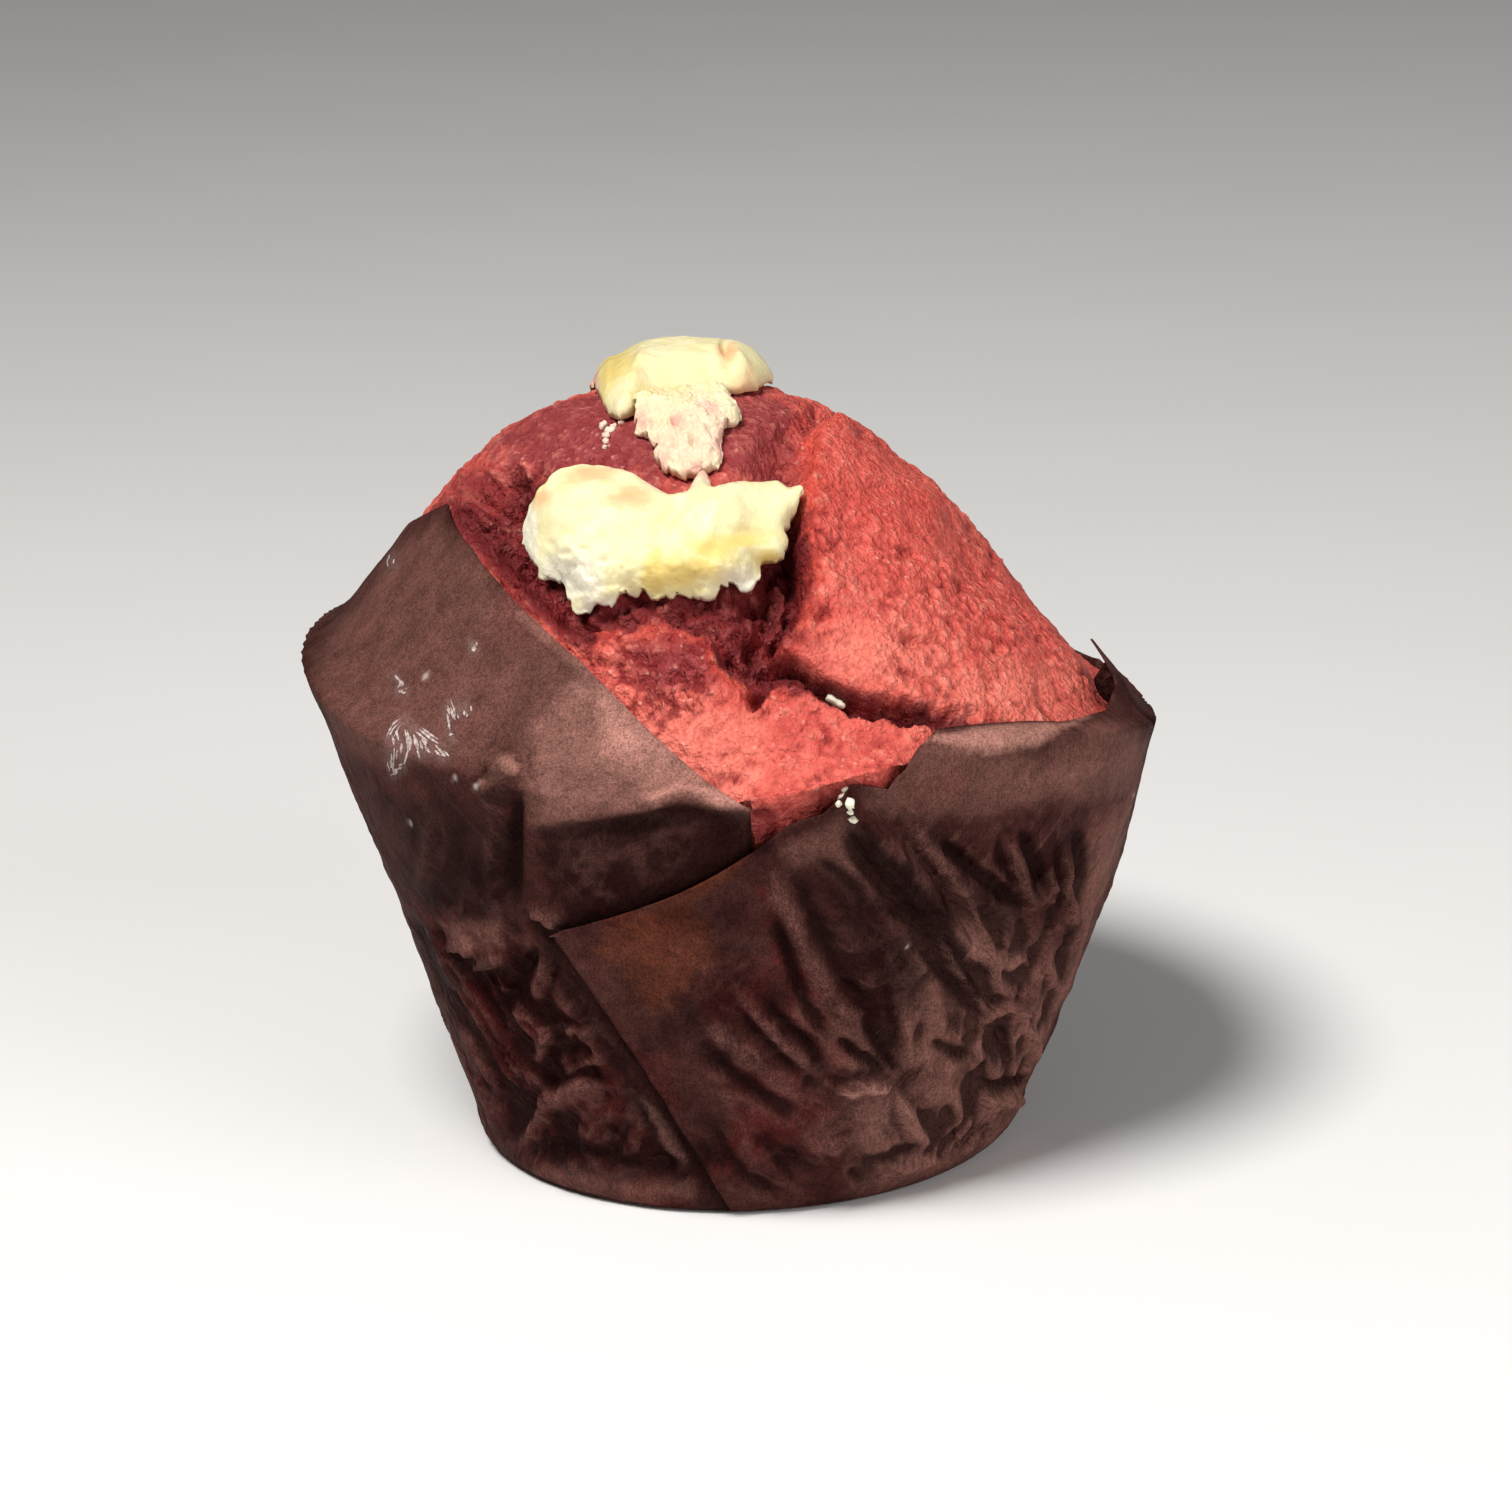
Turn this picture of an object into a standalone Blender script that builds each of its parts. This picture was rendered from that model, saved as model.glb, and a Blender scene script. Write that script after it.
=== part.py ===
"""Red velvet muffin in a brown tulip paper case, with three pieces of cream cheese on its top.

Right-handed, +Z up, origin at the centre of the flat base, front of the muffin towards -Y.
Driving dimensions are real sizes in millimetres and angles in degrees; MM turns them into metres.
Angles run round the muffin: 0 is the right side (+X), -90 the front (-Y), 180 the left side.
A height up the side is given as a share: 0 at the edge of the base, 1 at the shoulder where the
paper leans in over the cake, 2 at the crown of the cake.
"""
import math

import bpy
import numpy as np
from mathutils import Vector
from mathutils.bvhtree import BVHTree

MM = 0.001

# ---- outside of the paper, every 30 degrees from -180 ------------------------------------
STATION_STEP = 30.0
BASE_FLAT_RADIUS = 25.8
FOOT_HEIGHT = 3.0
FOOT_RADIUS = (27.7, 27.8, 27.9, 28.0, 28.1, 28.3, 28.4, 28.3, 28.2, 28.0, 27.8, 27.7)
SHOULDER_RADIUS = (42.6, 42.3, 41.3, 40.8, 41.4, 42.0, 42.0, 41.8, 41.4, 41.4, 41.8, 42.3)
SHOULDER_HEIGHT = (51.3, 49.5, 47.5, 47.0, 49.5, 46.0, 41.2, 41.5, 44.0, 46.5, 48.5, 50.5)
SIDE_BULGE = (-0.3, -0.2, -0.1, 0.3, 0.6, 1.1, 1.4, 1.1, 0.6, 0.4, 0.2, -0.1)
DOME_RADIUS = (41.6, 41.2, 40.0, 39.4, 39.8, 39.8, 39.8, 39.6, 39.8, 40.0, 40.6, 41.4)

# ---- crown of the cake --------------------------------------------------------------------
CROWN_X = -4.8
CROWN_Y = 1.0
CROWN_HEIGHT = 75.6
CROWN_POWER = 2.5
CROWN_SLOPE = (1.34, 1.34, 1.32, 1.32, 1.34, 1.38, 1.42, 1.38, 1.34, 1.3, 1.29, 1.31)

# ---- paper case ---------------------------------------------------------------------------
PAPER_THICKNESS = 0.4
PAPER_TO_CAKE = 0.35
# the cake draws in by this much at the shoulder, over this share of the height
SHOULDER_ROUNDING = 1.0
SHOULDER_ROUNDING_SHARE = 0.045
# above the paper's edge the cake comes out to its full form
EDGE_SPREAD_ANGLE = 5.0
BARE_START_SHARE = 0.03
BARE_RUN_SHARE = 0.09
PLEAT_LIFT = 1.2
FLAP_LEFT_TOP = -118.0
FLAP_LEFT_FOOT_SHIFT = 24.5
FLAP_CORNER_SHARE = 0.67
FLAP_RIGHT = -88.0
FLAP_RIGHT_SHARE = 0.89
# the second fold starts at the edge at this angle and runs down to the right
FOLD_TOP = -75.0
FOLD_SHIFT = 22.0
FOLD_TOP_SHARE = 0.98
FOLD_FOOT_SHARE = 0.58
FOLD_COLUMNS = (-1.4, -0.6, 0.4, 2.5)
FOLD_FLOOR_LIFT = 0.05
PANEL_WIDTH_ANGLE = 8.0
PANEL_LIFT = 0.8
PANEL_CORNER = -67.0
PANEL_END = -30.0
PANEL_END_LIFT = 0.3
STEP_ANGLE = 0.5
STEP_SHARE = 0.008
# away from the pleat the rows of the paper change their spacing at this share
BAND_SHARE = 0.8
# height of the paper's edge round the case: (angle, share)
PAPER_EDGE = (
    (-180, 1.27), (-168, 1.385), (-148, 1.35), (-136, 1.31), (-124, 1.26), (-114, 1.21),
    (-107, 1.16), (-100, 1.10), (-94, 1.04), (-88, 0.98))
PAPER_EDGE_RIGHT = (
    (-88, 0.89), (-85, 0.92), (-80, 0.945), (-76, 0.99), (-71, 0.95), (-67, 1.0), (-61, 1.035),
    (-39, 1.03), (-25, 1.035), (-12, 1.06), (-6, 1.14), (0, 1.10), (10, 1.04), (25, 1.0),
    (48, 0.985), (70, 1.12), (92, 1.30), (112, 1.18), (140, 1.02), (160, 1.12), (180, 1.27))
CORNER_ANGLE = -5.0
CORNER_WIDTH = 14.0
CORNER_STANDOFF = 2.6
WAVE_HEIGHT = 0.22
WAVE_COUNT = 11.0

# ---- features of the cake's top: plan points (x, y) ---------------------------------------
PIT_WALL = ((14.0, 13.0), (11.6, 4.0), (8.8, -6.4), (7.9, -16.0), (7.2, -19.0), (8.1, -22.1),
            (7.1, -26.1), (6.0, -28.7), (4.7, -30.2))
PIT_DEPTH = (0.5, 1.2, 1.2, 2.8, 3.6, 4.6, 5.2, 5.0, 4.0)
PIT_WIDTH = (3.0, 3.0, 4.0, 7.0, 8.0, 9.0, 9.0, 8.0, 6.0)
LOBE_EDGE = ((-24.5, -9.0), (-21.0, -18.5), (-16.0, -25.4), (-12.5, -27.2), (-5.7, -27.9),
             (-2.0, -28.8), (-1.0, -31.0), (2.5, -32.0), (8.5, -33.2), (12.6, -33.4),
             (20.0, -30.9), (25.2, -29.6), (31.0, -23.4))
LOBE_DEPTH = (1.8, 2.6, 2.8, 2.2, 2.2, 3.0, 3.4, 3.4, 3.4, 2.8, 1.6, 0.8, 0.3)
LOBE_WIDTH = (5.0, 5.0, 4.5, 4.0, 4.0, 5.0, 6.0, 5.5, 3.6, 2.6, 2.0, 1.6, 1.2)
HOLLOW_CENTRE = (-21.5, -13.0)
HOLLOW_RADIUS = 7.0
HOLLOW_DEPTH = 1.6
BACK_CRACK = ((-24.0, 12.0), (-13.0, 20.0), (0.0, 22.0), (10.0, 27.0), (18.0, 25.0))
BACK_CRACK_DEPTH = 2.0
BACK_CRACK_WIDTH = 3.0
LUMP_HEIGHT = 0.35
LUMP_SIZE = 3.4
LIP_HEIGHT = 1.0
LIP_WIDTH = 5.0

# ---- cream cheese: outlines in plan, clockwise from the left ------------------------------
FRONT_CREAM = (
    (-19.4, -15.4), (-18.0, -13.7), (-14.9, -13.1), (-13.0, -12.9), (-9.8, -14.7),
    (-6.9, -16.7), (-4.7, -18.1), (-2.5, -17.6), (-1.9, -16.8), (-1.1, -17.6), (1.1, -17.2),
    (5.5, -16.6), (6.6, -17.8), (6.7, -19.4), (6.2, -20.9), (5.6, -22.2), (2.8, -23.1),
    (2.6, -24.1), (1.6, -25.1), (0.3, -24.5), (-0.9, -24.9), (-1.4, -25.7), (-2.6, -25.2),
    (-5.4, -25.0), (-7.6, -24.9), (-9.6, -24.1), (-11.2, -24.6), (-12.9, -24.1),
    (-14.3, -24.2), (-15.3, -22.1), (-17.7, -20.9), (-18.5, -19.0), (-19.3, -17.3))
FRONT_CREAM_CENTRE = (-5.5, -20.6)
FRONT_CREAM_THICKNESS = 3.0
TOP_CREAM = (
    (-13.0, 5.5), (-12.0, 9.0), (-9.0, 12.0), (-4.5, 13.4), (0.2, 12.6), (3.2, 10.8),
    (4.2, 8.0), (3.6, 5.0), (1.6, 4.2), (-1.2, 4.4), (-3.2, 3.2), (-5.2, 1.2), (-7.4, -1.2),
    (-8.6, -4.4), (-9.8, -6.2), (-11.2, -5.2), (-11.8, -1.4), (-12.6, 2.4))
TOP_CREAM_CENTRE = (-5.6, 5.6)
TOP_CREAM_THICKNESS = 3.7
MIDDLE_CREAM = (
    (-7.6, -2.4), (-4.9, -0.6), (-2.4, 1.2), (0.2, 0.8), (1.2, -2.0), (1.7, -5.6),
    (1.0, -9.1), (-0.5, -11.5), (-0.8, -13.4), (-2.0, -14.8), (-4.0, -15.2), (-5.2, -14.7),
    (-6.4, -13.1), (-6.3, -11.2), (-8.1, -9.2), (-8.5, -6.0))
MIDDLE_CREAM_CENTRE = (-3.2, -6.8)
MIDDLE_CREAM_THICKNESS = 2.0
CREAM_SHIFT = -0.9
CREAM_GAP = 0.45
CREAM_SINK = 1.4
CREAM_WAVE = 0.12
# rings of a cream piece, as (share of the outline, share of the thickness)
CREAM_RINGS = ((0.35, 0.0), (0.7, 0.0), (0.93, 0.0), (1.0, 0.35), (0.95, 0.75), (0.8, 0.96),
               (0.55, 1.0), (0.3, 0.94))
NEAR = 0.9

# ---- mesh density -------------------------------------------------------------------------
CAKE_COLUMNS = 84
CAKE_SIDE_SHARES = (-0.55, 0.0, 0.02, 0.06, 0.25, 0.5, 0.75, 0.9, 1.0)
CAKE_CROWN_ROWS = 23
CAKE_CROWN_SPAN = 0.975
PAPER_ANGLE_STEP = 5.0
FOOT_ROWS = (0.0, 0.02, 0.06, 0.16, 0.3, 0.44, 0.58, 0.72, 0.86, 1.0)
BAND_ROWS = (0.34, 0.67, 1.0)
LEAN_ROWS = (0.12, 0.35, 0.6, 0.8, 1.0)

CAKE_COLOUR = (0.44, 0.085, 0.065, 1.0)
PAPER_COLOUR = (0.085, 0.036, 0.028, 1.0)
CREAM_COLOUR = (0.93, 0.85, 0.50, 1.0)


def clear_scene():
    for item in list(bpy.data.objects):
        bpy.data.objects.remove(item, do_unlink=True)


def ease(value):
    value = np.clip(value, 0.0, 1.0)
    return value * value * (3.0 - 2.0 * value)


def around(angle, values):
    """Smooth value at an angle from the twelve stations round the muffin."""
    table = np.asarray(values, float)
    count = len(table)
    turn = ((np.asarray(angle, float) + 180.0) % 360.0) / STATION_STEP
    index = np.floor(turn).astype(int)
    part = turn - index
    before = table[(index - 1) % count]
    start = table[index % count]
    end = table[(index + 1) % count]
    after = table[(index + 2) % count]
    cubic = 3.0 * (start - end) + after - before
    square = 2.0 * before - 5.0 * start + 4.0 * end - after
    return start + 0.5 * part * (end - before + part * (square + part * cubic))


def side_radius(angle, height):
    foot = around(angle, FOOT_RADIUS)
    shoulder = around(angle, SHOULDER_RADIUS)
    rise = (height - FOOT_HEIGHT) / (around(angle, SHOULDER_HEIGHT) - FOOT_HEIGHT)
    rise = np.clip(rise, 0.0, 1.0)
    wall = foot + (shoulder - foot) * rise + around(angle, SIDE_BULGE) * np.sin(math.pi * rise)
    turn = np.clip(height / FOOT_HEIGHT, 0.0, 1.0)
    curve = np.sqrt(1.0 - (1.0 - turn) ** 2)
    edge = BASE_FLAT_RADIUS + (foot - BASE_FLAT_RADIUS) * curve
    return np.where(height < FOOT_HEIGHT, edge, wall)


def crown_point(angle, share):
    turn = np.radians(angle)
    inward = np.clip(2.0 - share, 0.0, 1.0)
    flare = ease((inward - 0.93) / 0.07)
    dome = around(angle, DOME_RADIUS)
    ring = dome + (around(angle, SHOULDER_RADIUS) - dome) * flare
    x = CROWN_X + (ring * np.cos(turn) - CROWN_X) * inward
    y = CROWN_Y + (ring * np.sin(turn) - CROWN_Y) * inward
    low = around(angle, SHOULDER_HEIGHT)
    rise = (1.0 - inward ** CROWN_POWER) ** around(angle, CROWN_SLOPE)
    return np.stack([x, y, low + (CROWN_HEIGHT - low) * rise], -1)


def side_point(angle, share):
    turn = np.radians(angle)
    height = around(angle, SHOULDER_HEIGHT) * np.clip(share, 0.0, 1.0)
    radius = np.where(share < 0.0, BASE_FLAT_RADIUS * (1.0 + share), side_radius(angle, height))
    return np.stack([radius * np.cos(turn), radius * np.sin(turn), height], -1)


def body_point(angle, share):
    """Point on the outside of the paper, or where it would be over the bare crown."""
    angle, share = np.broadcast_arrays(np.asarray(angle, float), np.asarray(share, float))
    over = (share > 1.0)[..., None]
    return np.where(over, crown_point(angle, share), side_point(angle, share))


def body_normal(angle, share):
    angle, share = np.broadcast_arrays(np.asarray(angle, float), np.asarray(share, float))
    share = np.clip(share, -0.97, 1.97)
    along = body_point(angle + 1.0, share) - body_point(angle - 1.0, share)
    upward = body_point(angle, share + 0.012) - body_point(angle, share - 0.012)
    normal = np.cross(along, upward)
    length = np.maximum(np.linalg.norm(normal, axis=-1, keepdims=True), 1e-9)
    return normal / length


def line_profile(points, values, x, y):
    """Distance to a plan line, which side (+1 left of its direction) and a value along it."""
    best = np.full(np.shape(x), 1e9)
    side = np.ones(np.shape(x))
    found = [np.zeros(np.shape(x)) for _ in values]
    for index in range(len(points) - 1):
        ax, ay = points[index]
        bx, by = points[index + 1]
        dx = bx - ax
        dy = by - ay
        part = np.clip(((x - ax) * dx + (y - ay) * dy) / (dx * dx + dy * dy), 0.0, 1.0)
        away = np.hypot(x - ax - part * dx, y - ay - part * dy)
        nearer = away < best
        best = np.where(nearer, away, best)
        side = np.where(nearer, np.sign(dx * (y - ay) - dy * (x - ax)), side)
        for number, column in enumerate(values):
            value = column[index] + (column[index + 1] - column[index]) * part
            found[number] = np.where(nearer, value, found[number])
    return best, side, found


def step_down(distance, depth, width):
    """Drop of a torn edge: steep at the edge, filling again towards the far side."""
    wall = ease(distance / 1.3)
    fill = 1.0 - ease((distance - 0.35 * width) / (0.65 * width))
    return -depth * wall * fill


def crown_relief(x, y):
    """Height of the cake's cracks, pit and lobes above the smooth crown."""
    away, side, (depth, width) = line_profile(PIT_WALL, (PIT_DEPTH, PIT_WIDTH), x, y)
    pit = np.where(side < 0.0, step_down(away, depth, width), 0.0)
    lip = LIP_HEIGHT * (1.0 - ease(away / LIP_WIDTH)) * ease(depth / 2.0)
    lip = np.where(side > 0.0, lip, 0.0)
    away, side, (depth, width) = line_profile(LOBE_EDGE, (LOBE_DEPTH, LOBE_WIDTH), x, y)
    inner = np.where(side > 0.0, step_down(away, depth, width), 0.0)
    spread = np.hypot(x - HOLLOW_CENTRE[0], y - HOLLOW_CENTRE[1]) / HOLLOW_RADIUS
    hollow = -HOLLOW_DEPTH * (1.0 - ease(spread))
    away, side, _ = line_profile(BACK_CRACK, (), x, y)
    back = -BACK_CRACK_DEPTH * (1.0 - ease(away / BACK_CRACK_WIDTH))
    lumps = LUMP_HEIGHT * np.sin(x / LUMP_SIZE + 1.0) * np.sin(y / LUMP_SIZE + 0.6)
    return np.minimum(pit, inner) + lip + hollow + back + lumps


def edge_share(angle):
    angle = (np.asarray(angle, float) + 180.0) % 360.0 - 180.0
    left = np.interp(angle, [p[0] for p in PAPER_EDGE], [p[1] for p in PAPER_EDGE])
    right = np.interp(angle, [p[0] for p in PAPER_EDGE_RIGHT], [p[1] for p in PAPER_EDGE_RIGHT])
    return np.where(angle <= FLAP_RIGHT, left, right)


def cake_offset(angle, share):
    """The cake keeps clear of the paper, and stands out to the full form above its edge."""
    rounding = SHOULDER_ROUNDING * np.exp(-((share - 1.0) / SHOULDER_ROUNDING_SHARE) ** 2)
    clear = -(PAPER_THICKNESS + PAPER_TO_CAKE + rounding)
    beside = (edge_share(angle - EDGE_SPREAD_ANGLE), edge_share(angle + EDGE_SPREAD_ANGLE))
    edge = np.maximum(np.maximum(*beside), edge_share(angle))
    bare = ease((share - edge - BARE_START_SHARE) / BARE_RUN_SHARE)
    return clear, bare


def material(name, colour, rough):
    look = bpy.data.materials.new(name)
    look.use_nodes = True
    shader = look.node_tree.nodes["Principled BSDF"]
    shader.inputs["Base Color"].default_value = colour
    shader.inputs["Roughness"].default_value = rough
    look.diffuse_color = colour
    return look


def add_solid(name, points, faces, look):
    mesh = bpy.data.meshes.new(name)
    mesh.from_pydata([tuple(point * MM) for point in points], [], faces)
    mesh.validate()
    item = bpy.data.objects.new(name, mesh)
    bpy.context.scene.collection.objects.link(item)
    mesh.materials.append(look)
    return item


def ring_faces(rows, columns, first=0):
    """Quads joining rings of points that close round the muffin, listed from the bottom up."""
    faces = []
    for row in range(rows - 1):
        for column in range(columns):
            after = (column + 1) % columns
            low = first + row * columns
            high = low + columns
            faces.append((low + column, low + after, high + after, high + column))
    return faces


def build_cake():
    angles = -180.0 + 360.0 * np.arange(CAKE_COLUMNS) / CAKE_COLUMNS
    crown = 1.0 + CAKE_CROWN_SPAN * np.arange(1, CAKE_CROWN_ROWS + 1) / CAKE_CROWN_ROWS
    shares = np.concatenate([CAKE_SIDE_SHARES, crown])
    angle, share = np.meshgrid(angles, shares)
    points = body_point(angle, share)
    normals = body_normal(angle, share)
    clear, bare = cake_offset(angle, share)
    relief = crown_relief(points[..., 0], points[..., 1]) * ease((share - 1.0) / 0.06)
    relief = np.where(bare > 0.0, relief * bare, np.minimum(relief, 0.0))
    offset = clear * (1.0 - bare) + relief
    points = points + normals * offset[..., None]
    rows, columns = share.shape
    low = body_point(0.0, -1.0)[None] + np.array([[0.0, 0.0, -clear[0, 0]]])
    high = body_point(0.0, 2.0)[None] + np.array([[0.0, 0.0, LUMP_HEIGHT * 0.2]])
    points = np.concatenate([points.reshape(-1, 3), low, high])
    faces = ring_faces(rows, columns)
    bottom = rows * columns
    top = bottom + 1
    last = (rows - 1) * columns
    for column in range(columns):
        after = (column + 1) % columns
        faces.append((bottom, after, column))
        faces.append((last + column, last + after, top))
    return add_solid("cake", points, faces, material("red_velvet_crumb", CAKE_COLOUR, 0.85))


def paper_columns():
    """Angles of the paper's columns, with a close pair at each edge of a fold."""
    plain = np.arange(-180.0, 180.0, PAPER_ANGLE_STEP)
    close = [FLAP_LEFT_TOP - STEP_ANGLE, FLAP_LEFT_TOP, FLAP_RIGHT, FLAP_RIGHT + STEP_ANGLE]
    close.extend(FOLD_TOP + offset for offset in FOLD_COLUMNS)
    nearest = np.abs(plain[:, None] - np.array(close)[None, :]).min(axis=1)
    keep = plain[nearest > 0.4 * PAPER_ANGLE_STEP]
    return np.array(sorted(set(keep.tolist() + close + [CORNER_ANGLE - 1.0, PANEL_CORNER])))


def split_share(angle):
    """Share at which the pleat's upper edge crosses a column."""
    flap = np.interp(angle, [FLAP_LEFT_TOP, FLAP_RIGHT], [FLAP_CORNER_SHARE, FLAP_RIGHT_SHARE])
    left = np.interp(angle, [-180.0, FLAP_LEFT_TOP], [BAND_SHARE, FLAP_CORNER_SHARE])
    right = np.minimum(BAND_SHARE, edge_share(angle) - 0.06)
    value = np.where(angle < FLAP_LEFT_TOP, left, flap)
    return np.where(angle > FLAP_RIGHT, right, value)


def lean_angle(column, share):
    """The folds slant: their columns move round the case with the height."""
    flap = FLAP_LEFT_FOOT_SHIFT * np.clip(1.0 - share / FLAP_CORNER_SHARE, 0.0, 1.0)
    run = FOLD_TOP_SHARE - FOLD_FOOT_SHARE
    fold = FOLD_SHIFT * np.clip((FOLD_TOP_SHARE - share) / run, 0.0, 1.0)
    near_flap = np.interp(column, [-180.0, FLAP_LEFT_TOP, FOLD_TOP], [0.0, 1.0, 0.0])
    near_fold = np.interp(column, [FLAP_LEFT_TOP, FOLD_TOP, -15.0], [0.0, 1.0, 0.0])
    return column + flap * near_flap + fold * near_fold


def paper_lift(column, angle, share, below_split):
    """How far the folds stand out from the plain case."""
    inside = (column >= FLAP_LEFT_TOP) & ((column > FLAP_RIGHT) | below_split)
    brink = FOLD_TOP + FOLD_COLUMNS[1]
    floor = FOLD_TOP + FOLD_COLUMNS[2]
    panel = FOLD_TOP + PANEL_WIDTH_ANGLE
    folded = np.interp(column, [brink, floor, panel, PANEL_END, 0.0],
                       [PLEAT_LIFT, FOLD_FLOOR_LIFT, PANEL_LIFT, PANEL_END_LIFT, 0.0])
    open_out = np.interp(column, [brink, panel, PANEL_END, 0.0],
                         [PLEAT_LIFT, PANEL_LIFT, PANEL_END_LIFT, 0.0])
    sharp = ease((share - FOLD_FOOT_SHARE + 0.12) / 0.14)
    flap = (open_out + (folded - open_out) * sharp) * ease(share / 0.14)
    lift = np.where(inside, flap, 0.0)
    waves = WAVE_HEIGHT * (1.0 + np.sin(np.radians(angle * WAVE_COUNT))) * ease(share / 0.1)
    return lift + corner_lift(angle, share) + waves * (1.0 - ease((share - 0.8) / 0.2))


def corner_lift(angle, share):
    """The right-hand corner of the sheet stands away from the cake."""
    spread = np.exp(-((angle - CORNER_ANGLE) / CORNER_WIDTH) ** 2)
    return CORNER_STANDOFF * spread * ease((share - 1.0) / 0.07)


def paper_rows(column):
    """Shares up one group of columns, and which rows lie below the pleat's upper edge."""
    split = split_share(column)
    edge = edge_share(column)
    shoulder = np.where(edge > 1.01, 1.0, split + 0.7 * (edge - split))
    rows = [split * part for part in FOOT_ROWS]
    below = [True] * len(rows)
    rows.append(split + STEP_SHARE)
    rows.extend(split + STEP_SHARE + (shoulder - split - STEP_SHARE) * part for part in BAND_ROWS)
    rows.extend(shoulder + (edge - shoulder) * part for part in LEAN_ROWS)
    below.extend([False] * (len(rows) - len(below)))
    return np.array(rows), np.array(below)


def build_paper():
    columns = paper_columns()
    shares, below = paper_rows(columns)
    column = np.broadcast_to(columns[None, :], shares.shape)
    angle = lean_angle(column, shares)
    lift = paper_lift(column, angle, shares, below[:, None])
    points = body_point(angle, shares)
    normals = body_normal(angle, shares)
    outer = points + normals * lift[..., None]
    inner = points + normals * (corner_lift(angle, shares) - PAPER_THICKNESS)[..., None]
    inner[0, :, 2] = PAPER_THICKNESS
    outer[0, :, 2] = 0.0
    rows, count = shares.shape
    faces = ring_faces(rows, count)
    inner_faces = ring_faces(rows, count, rows * count)
    faces.extend(tuple(reversed(face)) for face in inner_faces)
    top = (rows - 1) * count
    under = rows * count
    centre = 2 * rows * count
    for index in range(count):
        after = (index + 1) % count
        faces.append((top + index, top + after, under + top + after, under + top + index))
        faces.append((centre, after, index))
        faces.append((centre + 1, under + index, under + after))
    ends = np.array([[0.0, 0.0, 0.0], [0.0, 0.0, PAPER_THICKNESS]])
    every = np.concatenate([outer.reshape(-1, 3), inner.reshape(-1, 3), ends])
    return add_solid("paper_case", every, faces, material("brown_paper", PAPER_COLOUR, 0.6))


def surface_tree(item):
    points = [tuple(vertex.co / MM) for vertex in item.data.vertices]
    polygons = [tuple(face.vertices) for face in item.data.polygons]
    return BVHTree.FromPolygons(points, polygons)


def height_near(tree, x, y):
    """Highest of the cake's top at a plan point and a little way round it."""
    best = 0.0
    for dx, dy in ((0.0, 0.0), (NEAR, 0.0), (-NEAR, 0.0), (0.0, NEAR), (0.0, -NEAR)):
        start = Vector((x + dx, y + dy, 2.0 * CROWN_HEIGHT))
        hit = tree.ray_cast(start, Vector((0.0, 0.0, -1.0)))
        if hit[0] is not None:
            best = max(best, hit[0][2])
    return best


def smooth_height(x, y):
    """Height of the smooth crown at a plan point, without cracks."""
    reach = math.hypot(x - CROWN_X, y - CROWN_Y)
    angle = math.degrees(math.atan2(y, x))
    for _ in range(12):
        edge = crown_point(np.float64(angle), np.float64(1.08))
        heading = math.atan2(y - CROWN_Y, x - CROWN_X)
        actual = math.atan2(edge[1] - CROWN_Y, edge[0] - CROWN_X)
        turn = (heading - actual + math.pi) % (2.0 * math.pi) - math.pi
        angle += math.degrees(turn) * 0.9
    length = math.hypot(edge[0] - CROWN_X, edge[1] - CROWN_Y) / 0.92
    return float(crown_point(np.float64(angle), np.float64(2.0 - reach / length))[2])


def smooth_normal(x, y):
    step = 2.0
    rise_x = (smooth_height(x + step, y) - smooth_height(x - step, y)) / (2.0 * step)
    rise_y = (smooth_height(x, y + step) - smooth_height(x, y - step)) / (2.0 * step)
    return Vector((-rise_x, -rise_y, 1.0)).normalized()


def cream_point(tree, x, y, height):
    """Point at a height over the cake; at height 0 it is on the underside of a cream piece."""
    normal = smooth_normal(x, y)
    resting = height_near(tree, x, y) + CREAM_GAP / max(normal.z, 0.3)
    resting = max(resting, smooth_height(x, y) - CREAM_SINK)
    return Vector((x, y, resting)) + normal * height


def build_cream(name, outline, centre, thickness, tree):
    """Pillow of cream over a plan outline: rings from the middle of the underside to its top."""
    points = []
    for reach, share in CREAM_RINGS:
        for x, y in outline:
            px = centre[0] + (x - centre[0]) * reach
            py = centre[1] + (y - centre[1]) * reach + CREAM_SHIFT
            wave = 1.0 + CREAM_WAVE * math.sin(1.1 * px + 0.4) * math.cos(0.9 * py)
            points.append(cream_point(tree, px, py, thickness * wave * share))
    count = len(outline)
    faces = [tuple(reversed(face)) for face in ring_faces(len(CREAM_RINGS), count)]
    under = len(points)
    top = under + 1
    middle = (centre[0], centre[1] + CREAM_SHIFT)
    points.append(cream_point(tree, *middle, 0.0))
    points.append(cream_point(tree, *middle, thickness * CREAM_RINGS[-1][1]))
    last = under - count
    for index in range(count):
        after = (index + 1) % count
        faces.append((under, index, after))
        faces.append((top, last + after, last + index))
    every = np.array([tuple(point) for point in points])
    return add_solid(name, every, faces, material("cream_cheese", CREAM_COLOUR, 0.45))


def main():
    clear_scene()
    tree = surface_tree(build_cake())
    build_paper()
    build_cream("cream_cheese_front", FRONT_CREAM, FRONT_CREAM_CENTRE,
                FRONT_CREAM_THICKNESS, tree)
    build_cream("cream_cheese_top", TOP_CREAM, TOP_CREAM_CENTRE, TOP_CREAM_THICKNESS, tree)
    build_cream("cream_cheese_middle", MIDDLE_CREAM, MIDDLE_CREAM_CENTRE,
                MIDDLE_CREAM_THICKNESS, tree)


main()
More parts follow.
